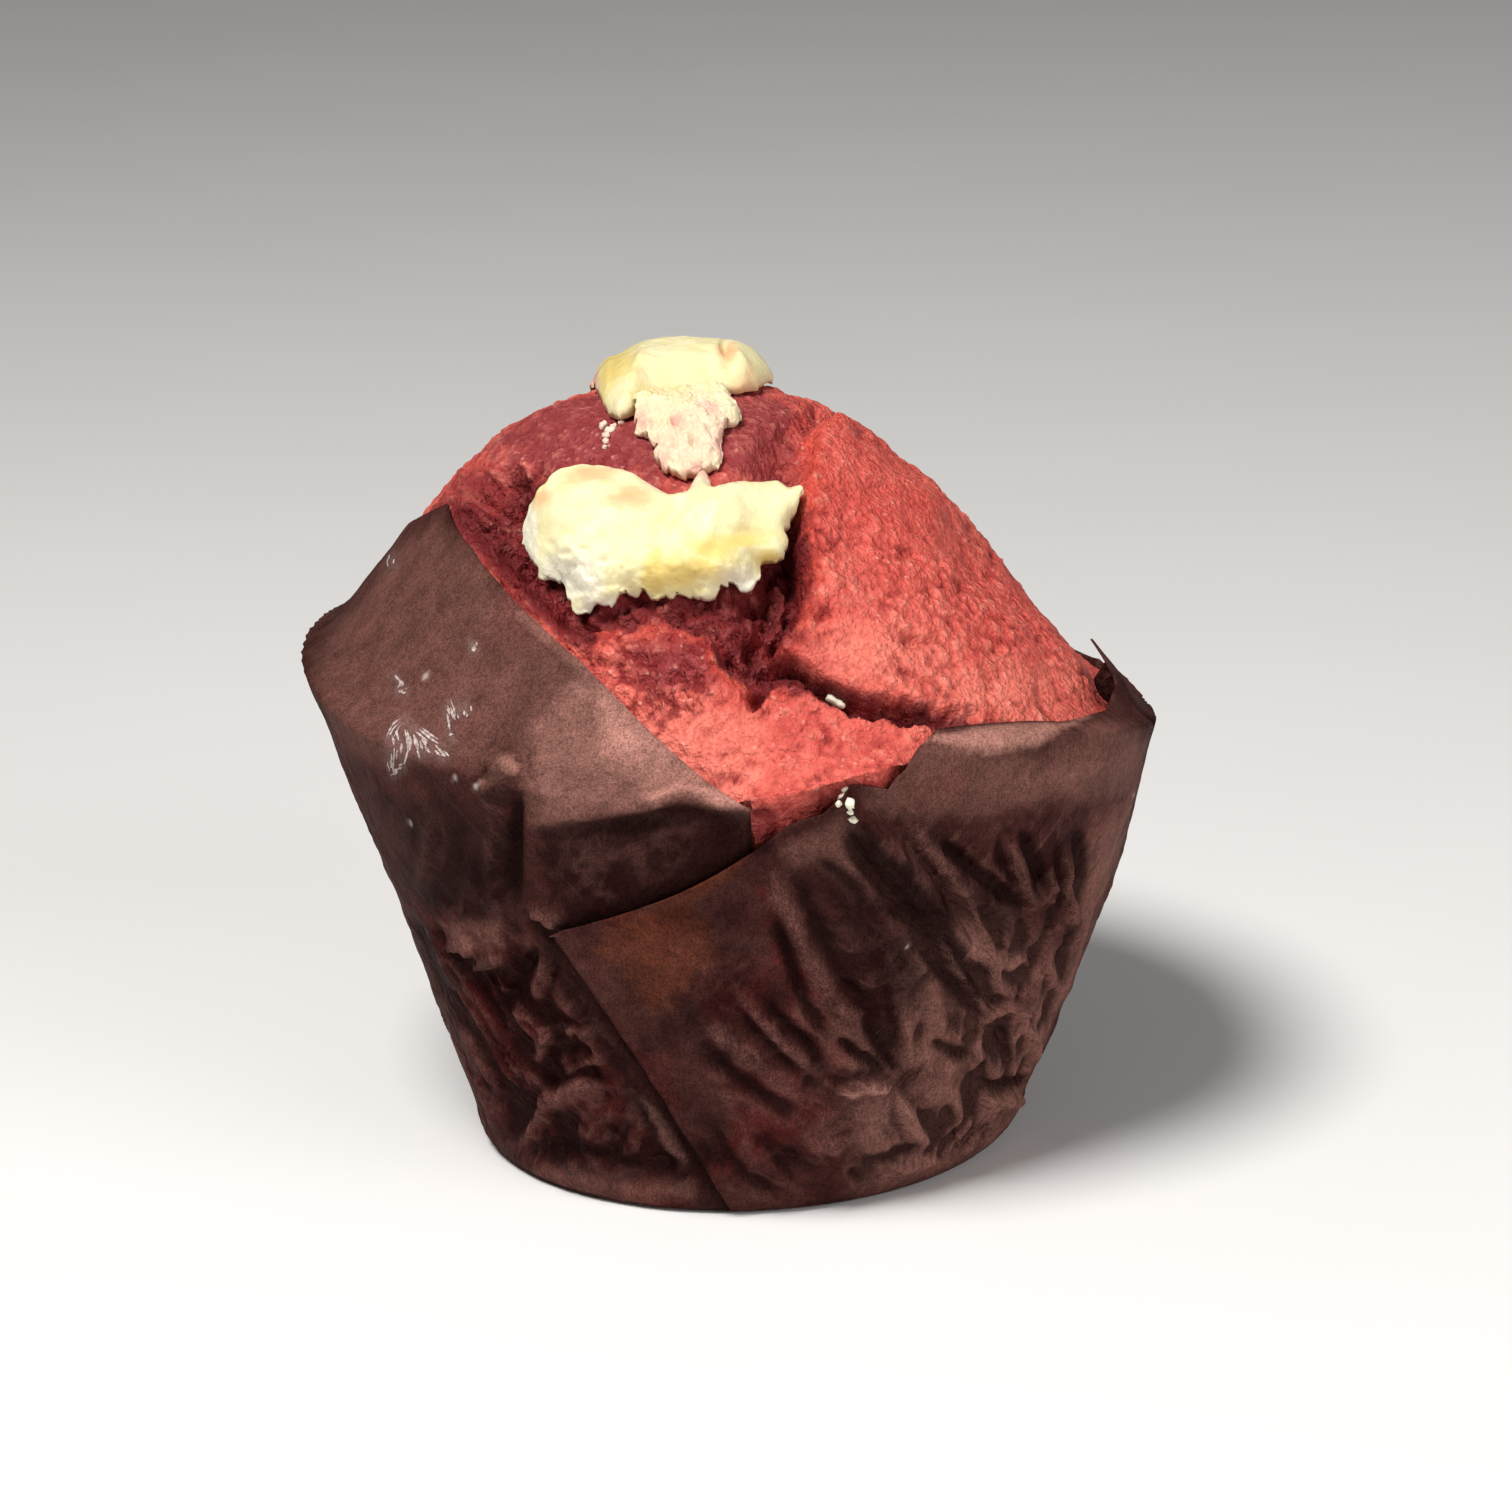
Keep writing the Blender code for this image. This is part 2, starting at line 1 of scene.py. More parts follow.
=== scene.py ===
"""Looks of the red velvet muffin: its crumb, its creased tulip paper and its cream cheese.

Everything is worked out in millimetres in the frame of the CAD part (front towards -Y, +Z up,
origin under the middle of the base) and turned into metres by MM. Angles run round the muffin
in degrees: 0 is the right side, -90 the front. A height up the side is a share: 0 at the edge of
the base, 1 at the shoulder, 2 at the crown. Details that the photograph shows are placed by where
they are seen in its 1512-pixel frame, x to the right and y down, and lie on the form below them.
"""
import itertools
import math

import bpy
import numpy as np
from mathutils import Matrix, Vector
from mathutils.bvhtree import BVHTree


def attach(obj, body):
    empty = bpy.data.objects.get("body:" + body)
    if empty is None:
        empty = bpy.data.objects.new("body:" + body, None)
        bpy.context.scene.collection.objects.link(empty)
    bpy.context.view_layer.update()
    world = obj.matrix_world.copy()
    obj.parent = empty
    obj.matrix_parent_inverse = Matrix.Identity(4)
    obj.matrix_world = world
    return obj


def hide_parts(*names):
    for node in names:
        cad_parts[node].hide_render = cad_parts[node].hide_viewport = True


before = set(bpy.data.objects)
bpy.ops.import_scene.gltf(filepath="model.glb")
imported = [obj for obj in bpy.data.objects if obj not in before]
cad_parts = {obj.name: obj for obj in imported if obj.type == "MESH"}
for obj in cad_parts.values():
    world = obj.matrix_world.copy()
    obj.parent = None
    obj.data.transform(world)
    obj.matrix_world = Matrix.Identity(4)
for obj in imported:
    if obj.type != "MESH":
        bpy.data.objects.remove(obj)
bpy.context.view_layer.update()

MM = 0.001

# ---- camera -------------------------------------------------------------------------------
PHOTO_SIZE = 1512
CAMERA_ELEVATION = 18.0
CAMERA_ROLL = 2.0
CAMERA_DISTANCE = 520.0
CAMERA_TARGET = (2.1, 0.0, 38.0)
PIXELS_PER_MM = 10.0
SENSOR_WIDTH = 36.0

# ---- the muffin's form, every 30 degrees from -180 ----------------------------------------
STATION_STEP = 30.0
BASE_FLAT_RADIUS = 25.8
FOOT_HEIGHT = 3.0
FOOT_RADIUS = (27.7, 27.8, 27.9, 28.0, 28.1, 28.3, 28.4, 28.3, 28.2, 28.0, 27.8, 27.7)
SHOULDER_RADIUS = (42.6, 42.3, 41.3, 40.8, 41.4, 42.0, 42.0, 41.8, 41.4, 41.4, 41.8, 42.3)
SHOULDER_HEIGHT = (51.3, 49.5, 47.5, 47.0, 49.5, 46.0, 41.2, 41.5, 44.0, 46.5, 48.5, 50.5)
SIDE_BULGE = (-0.3, -0.2, -0.1, 0.3, 0.6, 1.1, 1.4, 1.1, 0.6, 0.4, 0.2, -0.1)
DOME_RADIUS = (41.6, 41.2, 40.0, 39.4, 39.8, 39.8, 39.8, 39.6, 39.8, 40.0, 40.6, 41.4)
CROWN_X = -4.8
CROWN_Y = 1.0
CROWN_HEIGHT = 75.6
CROWN_POWER = 2.5
CROWN_SLOPE = (1.34, 1.34, 1.32, 1.32, 1.34, 1.38, 1.42, 1.38, 1.34, 1.3, 1.29, 1.31)

# ---- cracks and lobes of the crown: plan points (x, y) -------------------------------------
PIT_WALL = ((14.0, 13.0), (11.6, 4.0), (8.8, -6.4), (7.9, -16.0), (7.2, -19.0), (8.1, -22.1),
            (7.1, -26.1), (6.0, -28.7), (4.7, -30.2))
PIT_DEPTH = (0.5, 1.2, 1.4, 3.0, 3.8, 4.8, 5.4, 5.2, 4.2)
PIT_WIDTH = (3.0, 3.0, 4.0, 7.0, 8.0, 9.0, 9.0, 8.0, 6.0)
LOBE_EDGE = ((-24.5, -9.0), (-21.0, -18.5), (-16.0, -25.4), (-12.5, -27.2), (-5.7, -27.9),
             (-2.0, -28.8), (-1.0, -31.0), (2.5, -32.0), (5.2, -32.4))
LOBE_DEPTH = (1.8, 2.6, 2.8, 2.2, 2.2, 3.0, 3.6, 3.8, 2.6)
LOBE_WIDTH = (5.0, 5.0, 4.5, 4.0, 4.0, 5.0, 5.0, 3.4, 2.2)
# the crack under the lip of the right-hand lobe, as seen in the photograph
CRACK = ((756, 660), (786, 670), (806, 683), (826, 696), (848, 706), (880, 713), (912, 717),
         (944, 719), (985, 724), (1044, 727))
CRACK_DEPTH = (2.6, 3.4, 3.4, 3.2, 2.8, 2.4, 2.0, 1.4, 0.8, 0.2)
CRACK_ABOVE = 13.0
CRACK_BELOW = 7.0
CRACK_LIP = 0.9
HOLLOW_CENTRE = (-21.5, -13.0)
HOLLOW_RADIUS = 7.0
HOLLOW_DEPTH = 1.6
BACK_CRACK = ((-24.0, 12.0), (-13.0, 20.0), (0.0, 22.0), (10.0, 27.0), (18.0, 25.0))
BACK_CRACK_DEPTH = 2.0
BACK_CRACK_WIDTH = 3.0
LUMP_HEIGHT = 0.35
LUMP_SIZE = 3.4
LIP_HEIGHT = 1.0
LIP_WIDTH = 5.0

# ---- crumb, as seen in the photograph: (x, y, half width, half height, depth in mm) ---------
CRUST_PORES = (
    (822, 622, 11, 9, 1.3), (914, 640, 26, 6, 1.1), (964, 586, 7, 6, 0.8), (941, 560, 7, 8, 0.8),
    (911, 554, 9, 6, 0.6), (877, 488, 20, 5, 0.5), (813, 441, 7, 12, 1.2), (863, 433, 9, 5, 0.4),
    (784, 757, 24, 5, 0.7), (998, 648, 10, 6, 0.5), (1042, 690, 12, 6, 0.5),
    (862, 655, 12, 5, 0.5), (762, 828, 20, 20, 3.4))
CRACKLE_PATCH = (648, 680, 92, 62)
CRACKLE_DEPTH = 0.55
# torn crumb painted darker: partly its own deeper red, partly painted shade in the cavities; the
# last patch is painted shadow in the gap under the paper's hanging edge
TORN_AND_SHADED_PATCHES = ((478, 520, 66, 80), (760, 610, 62, 85), (545, 595, 60, 30), (640, 612, 120, 26),
                (764, 828, 20, 22))
MAUVE_PATCHES = ((620, 435, 210, 85), (740, 430, 90, 70), (690, 655, 95, 50), (815, 515, 30, 45))
CRUST_LUMPS = (
    (500, 575, 14, 12, 0.9), (535, 612, 22, 12, 0.8), (572, 643, 22, 10, 0.9),
    (612, 652, 26, 16, 0.7), (690, 655, 30, 22, 0.5), (845, 425, 26, 18, 0.7),
    (885, 446, 30, 22, 0.35), (940, 498, 34, 26, 0.35), (990, 565, 80, 80, -1.0))

# beads of the crumb: (share of the height, size in mm, seed), and their middle level
BEADS = ((0.62, 1.6, 41), (0.38, 0.85, 51))
BEAD_LEVEL = 0.55
CRUMB_BEND = 0.5
CREVICE_SIZE = 2.1
CRACKLE_SIZE = 1.05
CRACKLE_STRETCH = (0.42, 0.42, 1.0)
# heights and depths in mm of what makes up the crust, and of what makes up the torn crumb
CRUST_GRAIN = 0.72
CRUST_FINE = 0.12
CRUST_WAVES = 0.30
CREVICE_DEPTH = 0.26
OPEN_WAVES = 0.85
OPEN_FURROWS = 0.35
OPEN_GRAIN = 1.3
OPEN_HOLES = 0.9

# the cake's mesh: its columns as (from, to, step) in degrees, fine where the camera sees it
CAKE_SPANS = ((-162.0, -8.0, 0.42), (-8.0, 198.0, 1.7))
CAKE_ROWS = 190
CAKE_TOP_SHARE = 1.985
CAKE_UNDER_PAPER = 2.2
# the torn part round the front cream, painted darker as torn crumb and as painted shade in the
# pit, and the lines of painted shade along its cracks and deepest pockets, in pixels
OPEN_AND_SHADED_CRUMB = (
    (1.0, 7, ((449, 509), (509, 474), (560, 470), (600, 520), (740, 530), (800, 496),
              (806, 525), (811, 554), (804, 596), (785, 625), (776, 660), (791, 677), (828, 690),
              (828, 704), (762, 681), (737, 656), (720, 629), (662, 622), (596, 634), (585, 648),
              (554, 633), (525, 608), (500, 575), (467, 546))),)
CREVICE_SHADE_LINES = (
    (9.0, ((762, 662), (786, 667), (806, 678), (826, 691), (848, 702), (880, 709), (912, 713),
           (944, 716))),
    (5.0, ((944, 717), (985, 722), (1044, 726))),
    (15.0, ((462, 516), (476, 530), (494, 548), (508, 570))),
    (8.0, ((522, 585), (548, 612), (572, 628), (590, 641))),
    (7.0, ((798, 535), (800, 570), (790, 606), (774, 632))),
    (9.0, ((736, 598), (740, 630), (760, 656), (778, 668))),
    (10.0, ((512, 474), (520, 486), (508, 508), (504, 530))))
# lighter patches on the lobes: painted highlight where they face the light
LOBE_HIGHLIGHT_PATCHES = ((880, 655, 100, 45), (690, 745, 120, 70), (650, 655, 60, 24), (1000, 690, 90, 40),
                (530, 610, 60, 20))
SMOOTH_CRUST = (
    (1.0, 30, ((812, 400), (900, 400), (1000, 560), (960, 560), (860, 520), (822, 500))),
    (0.7, 24, ((560, 330), (860, 330), (830, 470), (640, 480), (520, 460))))
# rows beneath the paper: one on the underside, then parts of the way up to the shown top
CAKE_FOOT_SHARE = -0.5
HIDDEN_PARTS = (0.0, 0.04, 0.3, 0.6, 0.85)
CAKE_BOTTOM = 0.6

# ---- paper --------------------------------------------------------------------------------
PAPER_THICKNESS = 0.2
# the front pleat: its folded left edge goes from the corner down to the foot, its brim right
# to the second fold, which slants down to its own foot (degrees, shares of the height, mm)
FLAP_LEFT_TOP = -118.0
FLAP_LEFT_FOOT_SHIFT = 24.5
FLAP_CORNER_SHARE = 0.67
FLAP_RIGHT = -88.0
FLAP_RIGHT_SHARE = 0.89
FOLD_TOP = -75.0
FOLD_SHIFT = 22.0
FOLD_TOP_SHARE = 0.98
FOLD_FOOT_SHARE = 0.58
PANEL_LIFT = 0.8
UNDER_PLEAT_DEPTH = 0.9
# the right-hand corner of the sheet, which stands away from the cake
CORNER_ANGLE = -5.0
CORNER_WIDTH = 14.0
CORNER_STANDOFF = 2.6
# free edge of the paper, along the strip from the pleat's folded edge rightwards round the
# back to the stretch that lies under the pleat: (place in degrees, share)
PAPER_EDGE = (
    (-478, 0.68), (-462, 0.80), (-448, 0.915), (-445, 0.94), (-440, 0.955), (-436, 0.99),
    (-431, 0.95), (-427, 1.0), (-421, 1.035), (-399, 1.03), (-385, 1.035), (-372, 1.06),
    (-366, 1.14), (-360, 1.10), (-350, 1.04), (-335, 1.0), (-312, 0.985), (-290, 1.12),
    (-268, 1.30), (-248, 1.18), (-220, 1.02), (-200, 1.17), (-190, 1.25), (-180, 1.31),
    (-168, 1.385), (-148, 1.35), (-136, 1.31), (-124, 1.26), (-114, 1.21), (-107, 1.16),
    (-100, 1.10), (-94, 1.04), (-88, 0.98), (-87.6, 0.80), (-60, 0.70))
STRIP_SPANS = ((-478.0, -360.0, 0.5), (-360.0, -150.0, 1.5), (-150.0, -88.0, 0.65),
               (-88.0, -87.6, 0.4), (-87.6, -60.0, 3.0))
STRIP_ROWS = 158
INNER_ROW_STEP = 8
INNER_EDGE_ROWS = 6
INNER_FLOOR = 0.05
EDGE_CURL = 0.22
# rows of the sheet: they start under the foot, climb evenly to the knee, and are spread above
# it so that the last one is the free edge
STRIP_START = -0.12
KNEE_CLIMB = 0.6
KNEE_SHARE = 0.62
# how far the layers right of the pleat's folded edge stand out, as (angle, mm): beside the
# second fold, and below its foot
FOLDED_LAYERS = ((FLAP_LEFT_TOP, 0.95), (-112.0, 0.75), (-84.0, 0.80), (-76.2, 1.7), (-74.6, -0.5),
                 (-72.0, -0.3), (-67.0, PANEL_LIFT), (-30.0, 0.3), (0.0, 0.0))
OPEN_LAYERS = ((FLAP_LEFT_TOP, 0.95), (-112.0, 0.75), (-84.0, 0.95), (-67.0, PANEL_LIFT),
               (-30.0, 0.3), (0.0, 0.0))
# the round of paper underneath: how much of the flat base it fills, and how high it lies
BASE_PART = 0.96
BASE_LIFT = 0.25
# the shoulder, where the paper is drawn taut over the cake
TAUT_SHARE = 1.03
TAUT_ABOVE = 0.3
TAUT_BELOW = 0.14
# creases that the photograph shows: height in mm, width left and right of the line in
# pixels, and the line
FOLDS = (
    # left panel: the lit patch's lower crease, the tab and the soft folds below it
    (0.5, 26, 16, ((535, 823), (593, 814), (649, 805), (678, 796), (722, 805), (743, 806))),
    (-0.2, 18, 14, ((611, 800), (640, 770), (664, 750))),
    (1.0, 3, 44, ((476, 787), (500, 783), (520, 777))),
    (-0.9, 10, 20, ((519, 778), (516, 830), (516, 915))),
    (0.45, 18, 10, ((472, 765), (505, 757), (520, 772))),
    (0.25, 22, 18, ((432, 800), (425, 860), (418, 900))),
    (-0.2, 16, 16, ((464, 800), (460, 850), (462, 905))),
    (0.15, 14, 14, ((490, 810), (488, 870), (494, 925))),
    (0.5, 40, 40, ((512, 745), (560, 705), (600, 672))),
    # lower left
    (0.9, 22, 6, ((526, 910), (545, 920), (566, 930))),
    (0.9, 26, 5, ((440, 949), (462, 950), (480, 957))),
    (0.9, 30, 5, ((466, 970), (484, 968), (503, 962), (508, 952))),
    (-0.9, 20, 14, ((540, 940), (520, 980), (498, 1017))),
    (0.9, 12, 18, ((550, 955), (541, 985), (536, 1012))),
    (0.7, 18, 10, ((602, 1027), (579, 1034), (560, 1026))),
    (0.8, 12, 16, ((552, 1027), (543, 1045), (536, 1068))),
    (-0.7, 10, 12, ((546, 1056), (566, 1052), (584, 1046))),
    (0.6, 12, 12, ((556, 1078), (585, 1066), (612, 1050))),
    (0.9, 22, 14, ((620, 1092), (580, 1084), (548, 1098), (530, 1128), (516, 1158))),
    (-0.6, 24, 18, ((537, 1146), (590, 1152), (640, 1168), (668, 1172))),
    (0.7, 14, 14, ((652, 1128), (672, 1148), (689, 1164))),
    (-0.5, 20, 16, ((410, 905), (424, 960), (446, 1010))),
    (0.5, 16, 18, ((462, 1020), (478, 1060), (500, 1092))),
    # front pleat
    (0.9, 22, 30, ((770, 838), (768, 856), (801, 938), (829, 989), (869, 1039), (897, 1073))),
    (-0.8, 14, 14, ((768, 893), (785, 944), (801, 995), (818, 1023), (843, 1045))),
    (0.7, 16, 12, ((728, 975), (762, 1018), (793, 1050), (824, 1080))),
    (-0.6, 14, 14, ((754, 983), (773, 1009), (807, 1039), (827, 1073))),
    (0.6, 24, 20, ((689, 1005), (740, 1048), (790, 1090), (820, 1105))),
    (-0.5, 18, 18, ((700, 1040), (745, 1080), (795, 1112))),
    (0.5, 20, 20, ((756, 1062), (782, 1070), (806, 1080))),
    (0.5, 18, 18, ((790, 1130), (830, 1140), (880, 1120))),
    (1.0, 8, 22, ((835, 1084), (855, 1076), (870, 1076), (888, 1083))),
    (0.8, 8, 26, ((888, 1083), (905, 1105), (922, 1135), (934, 1148))),
    (-0.9, 12, 12, ((829, 1031), (858, 1050), (886, 1070))),
    (-0.8, 12, 10, ((856, 1010), (876, 1045), (897, 1070))),
    (0.7, 14, 14, ((898, 984), (902, 1020), (909, 1066))),
    (-0.5, 12, 14, ((880, 965), (886, 1000), (894, 1040))),
    (0.6, 26, 10, ((852, 822), (885, 872), (918, 918))),
    (-0.5, 18, 18, ((806, 846), (850, 880), (878, 920))),
    # the valley beside the second fold, and its lit ridge
    (-1.5, 5, 26, ((838, 806), (848, 828), (866, 852), (892, 880), (914, 910), (938, 956),
                   (956, 990))),
    (0.6, 20, 4, ((836, 815), (852, 845), (880, 880), (902, 912), (924, 950), (940, 985))),
    # it goes on down as a wrinkle
    (-1.1, 16, 12, ((906, 940), (925, 955), (944, 973), (965, 1000), (984, 1023))),
    (1.0, 10, 20, ((920, 930), (948, 958), (972, 990), (990, 1014))),
    # right-hand panel
    (0.8, 20, 20, ((901, 814), (936, 858), (979, 914))),
    (-1.0, 16, 14, ((927, 830), (952, 850), (976, 872), (1028, 914))),
    (0.9, 16, 10, ((1000, 830), (1014, 868), (1028, 912))),
    (-1.0, 14, 14, ((1015, 822), (1030, 856), (1041, 892))),
    (0.9, 12, 8, ((1062, 835), (1065, 890), (1069, 950))),
    (-0.8, 12, 14, ((1077, 825), (1080, 860), (1078, 892))),
    (0.45, 30, 34, ((1145, 742), (1080, 765), (1020, 780), (975, 796))),
    (0.8, 14, 16, ((983, 950), (1006, 960), (1030, 956))),
    (0.8, 10, 18, ((963, 998), (985, 1010), (1008, 1004), (1031, 1012))),
    (-0.9, 12, 12, ((1000, 1020), (1003, 1045), (1010, 1066))),
    (0.7, 12, 14, ((1020, 1016), (1032, 1038), (1030, 1066))),
    (-0.7, 10, 10, ((921, 1034), (950, 1047), (976, 1054))),
    (-0.8, 12, 10, ((976, 1086), (1004, 1083), (1031, 1077))),
    (0.7, 12, 22, ((970, 1092), (1000, 1098), (1026, 1092))),
    (0.7, 14, 12, ((1044, 958), (1052, 975), (1054, 995))),
    (0.7, 14, 14, ((891, 1171), (912, 1164), (940, 1158))),
    (-0.6, 14, 12, ((858, 1160), (890, 1150), (925, 1140))),
    (-0.5, 14, 14, ((1075, 905), (1066, 940), (1058, 975))))
# creases of the sides that aren't seen: height, width left and right of the line in mm, and
# the (angle, share) of their tops and feet
BACK_FOLDS = (
    (0.9, 2.0, 9.0, (20, 0.97), (6, 0.12)), (-0.5, 3.0, 3.0, (34, 0.9), (26, 0.3)),
    (1.1, 2.0, 12.0, (62, 1.02), (78, 0.08)), (-0.6, 3.0, 4.0, (70, 0.95), (60, 0.3)),
    (0.7, 4.0, 3.0, (92, 1.25), (94, 0.4)), (1.1, 12.0, 2.0, (124, 1.08), (106, 0.1)),
    (-0.6, 4.0, 3.0, (138, 0.9), (146, 0.3)), (1.0, 2.0, 9.0, (158, 1.04), (172, 0.1)),
    (-0.5, 4.0, 4.0, (180, 0.9), (176, 0.35)), (0.6, 3.0, 5.0, (197, 0.95), (202, 0.3)))
BACK_FOLD_SCALE = 1.6
BACK_FOLD_REACH = 40.0
BACK_CREST_WIDTH = 0.6
BACK_STEEP_WIDTH = 3.5
# how much higher and narrower the shown creases are built than listed, and their greatest height
FOLD_SCALE = 1.35
FOLD_WIDTH = 0.7
FOLD_LIMIT = 1.6
# how wide the painted highlight on a crease's crest and the painted shade in its hollow are, in
# pixels
CREST_WIDTH = 4.0
HOLLOW_WIDTH = 7.0
# how deep a hollow may be: in the walls, and at the free edge, where the cake is close
INWARD_LIMIT = 1.4
EDGE_INWARD_LIMIT = 0.2
WRINKLED_AREAS = (
    (1.0, 24, ((400, 925), (520, 915), (560, 960), (690, 1180), (560, 1180), (470, 1120))),
    (1.0, 24, ((880, 820), (1140, 800), (1090, 1010), (1030, 1150), (840, 1180), (830, 1060))),
    (0.7, 24, ((720, 980), (850, 1000), (900, 1180), (720, 1190))),
    (0.5, 20, ((540, 780), (700, 815), (640, 880), (560, 900))))
# the wall unrolled: its radius at the foot, how much wider it is at the shoulder, its height,
# and the even radius and height that serve for patterns without a place of their own
WALL_RADIUS = 28.0
WALL_FLARE = 14.0
WALL_HEIGHT = 48.0
EVEN_WALL_RADIUS = 36.0
EVEN_WALL_HEIGHT = 46.0
CRUMPLE_SIZES = (5.0, 2.8, 1.6)
CRUMPLE_SLANTS = (-38.0, 42.0)
CRUMPLE_HEIGHT = 0.27
# scattered creases: half lengths, widths to each side and heights, in mm
CREASE_COUNT = 330
CREASE_LENGTHS = (3.0, 9.0)
CREASE_WIDTHS = (0.7, 2.8)
CREASE_HEIGHTS = (0.08, 0.36)
CREASE_SEED = 5
# areas of the paper by their outlines: (how strong, softness of the outline in px, outline)
# lighter paper: partly drier paper, mostly painted sheen where the paper faces the light
DRY_AND_SHEEN_AREAS = (
    (0.46, 18, ((520, 738), (556, 706), (594, 672), (642, 712), (700, 768), (746, 804), (722, 806),
                (678, 797), (649, 806), (593, 815), (555, 827), (535, 824), (528, 796))),
    (0.95, 24, ((580, 690), (606, 676), (700, 768), (746, 804), (722, 802), (690, 790), (652, 796),
                (622, 780), (600, 740))),
    (1.1, 7, ((640, 796), (676, 780), (716, 790), (742, 802), (722, 806), (690, 797), (655, 806))),
    (0.45, 8, ((500, 601), (530, 612), (600, 672), (590, 684), (540, 640))),
    (0.22, 16, ((440, 522), (402, 540), (352, 600), (308, 655), (320, 700), (350, 760),
                (392, 768), (474, 764), (518, 740), (592, 672))),
    (0.26, 12, ((866, 792), (884, 782), (900, 765), (935, 747), (1040, 750), (1110, 722),
                (1146, 742), (1138, 800), (1090, 800), (985, 806), (930, 815), (890, 825))),
    (0.50, 7, ((890, 1084), (905, 1092), (922, 1118), (936, 1146), (918, 1152), (902, 1125))),
    (0.45, 7, ((983, 950), (1006, 956), (1028, 950), (1026, 974), (1000, 980))),
    (0.45, 6, ((963, 998), (985, 1010), (1010, 1002), (1031, 1012), (1010, 1020), (985, 1022))),
    (0.35, 8, ((972, 1094), (1000, 1098), (1024, 1094), (1010, 1140), (975, 1150))),
    (0.25, 10, ((545, 1164), (620, 1176), (694, 1184), (694, 1200), (600, 1196), (530, 1176))),
    (0.30, 8, ((470, 972), (503, 958), (510, 966), (478, 982))),
    (0.25, 8, ((445, 925), (500, 918), (503, 950), (460, 946))),
    (0.22, 12, ((775, 842), (800, 832), (838, 800), (860, 850), (890, 905), (900, 930),
                (860, 900), (815, 860), (790, 870))),
    (0.40, 24, ((850, 1090), (960, 1060), (1060, 960), (1090, 830), (1145, 780), (1100, 990),
                (1035, 1155), (860, 1190))),
    (0.42, 30, ((900, 930), (1000, 915), (1060, 960), (980, 1080), (900, 1060))),
    (0.25, 8, ((800, 990), (870, 1040), (900, 1080), (880, 1090), (830, 1050), (795, 1010))))
# small sharp-edged patches of the same lighter paper and painted sheen: the tab, the beige strip
# and crease facets
CRISP_DRY_AND_SHEEN_AREAS = (
    (1.0, 2, ((475, 786), (484, 772), (500, 758), (512, 757), (520, 774), (498, 780))),
    (0.8, 3, ((904, 754), (935, 742), (1000, 731), (1060, 728), (1104, 708), (1078, 726),
              (1035, 745), (983, 752), (931, 748))),
    (0.8, 2, ((834, 1086), (850, 1077), (868, 1075), (888, 1083), (876, 1086), (862, 1083),
              (850, 1088))),
    (0.6, 2, ((888, 1084), (898, 1092), (906, 1108), (898, 1104), (888, 1096))),
    (0.5, 2, ((916, 1112), (930, 1124), (936, 1146), (926, 1140))),
    (0.45, 2, ((963, 999), (984, 1011), (1008, 1004), (1030, 1012), (1008, 1012), (985, 1018))),
    (0.45, 2, ((985, 955), (1004, 960), (1026, 955), (1026, 964), (1004, 968))),
    (0.40, 2, ((972, 1094), (1000, 1100), (1026, 1094), (1006, 1112), (984, 1108))),
    (0.40, 2, ((640, 1096), (660, 1110), (688, 1160), (672, 1150), (650, 1118))),
    (0.35, 2, ((536, 1030), (560, 1026), (578, 1036), (560, 1034))),
    (0.30, 2, ((526, 908), (546, 918), (564, 930), (544, 926))))
# darker paper: partly soaked paper, partly painted shade on walls that face away from the light
# and in fold valleys
DAMP_AND_SHADE_AREAS = (
    (1.0, 16, ((392, 800), (455, 800), (520, 830), (520, 920), (470, 925), (412, 900))),
    (0.8, 14, ((535, 832), (600, 822), (700, 808), (746, 812), (748, 846), (560, 922))),
    (0.6, 14, ((780, 870), (840, 850), (900, 930), (930, 1010), (880, 1040), (820, 960))),
    (0.7, 12, ((440, 945), (478, 955), (508, 966), (478, 985), (450, 975))),
    (0.6, 8, ((985, 1018), (1014, 1022), (1010, 1068), (990, 1050))),
    (0.6, 10, ((900, 860), (960, 880), (1020, 920), (990, 950), (930, 920))),
    (0.5, 14, ((655, 905), (740, 870), (760, 960), (720, 1050), (680, 1010), (720, 950))),
    (0.6, 10, ((545, 940), (580, 980), (600, 1040), (560, 1000))),
    (0.75, 18, ((530, 746), (585, 746), (604, 785), (560, 812), (532, 800))),
    (0.45, 30, ((420, 940), (530, 930), (600, 1030), (660, 1160), (540, 1160), (470, 1100))),
    (1.0, 5, ((842, 800), (858, 822), (890, 846), (928, 880), (958, 930), (975, 985), (950, 990),
              (934, 950), (910, 908), (886, 876), (860, 848), (846, 826))),
    (0.8, 6, ((528, 920), (552, 940), (600, 1020), (640, 1090), (690, 1190), (676, 1190),
              (620, 1080), (575, 1000), (540, 950))))
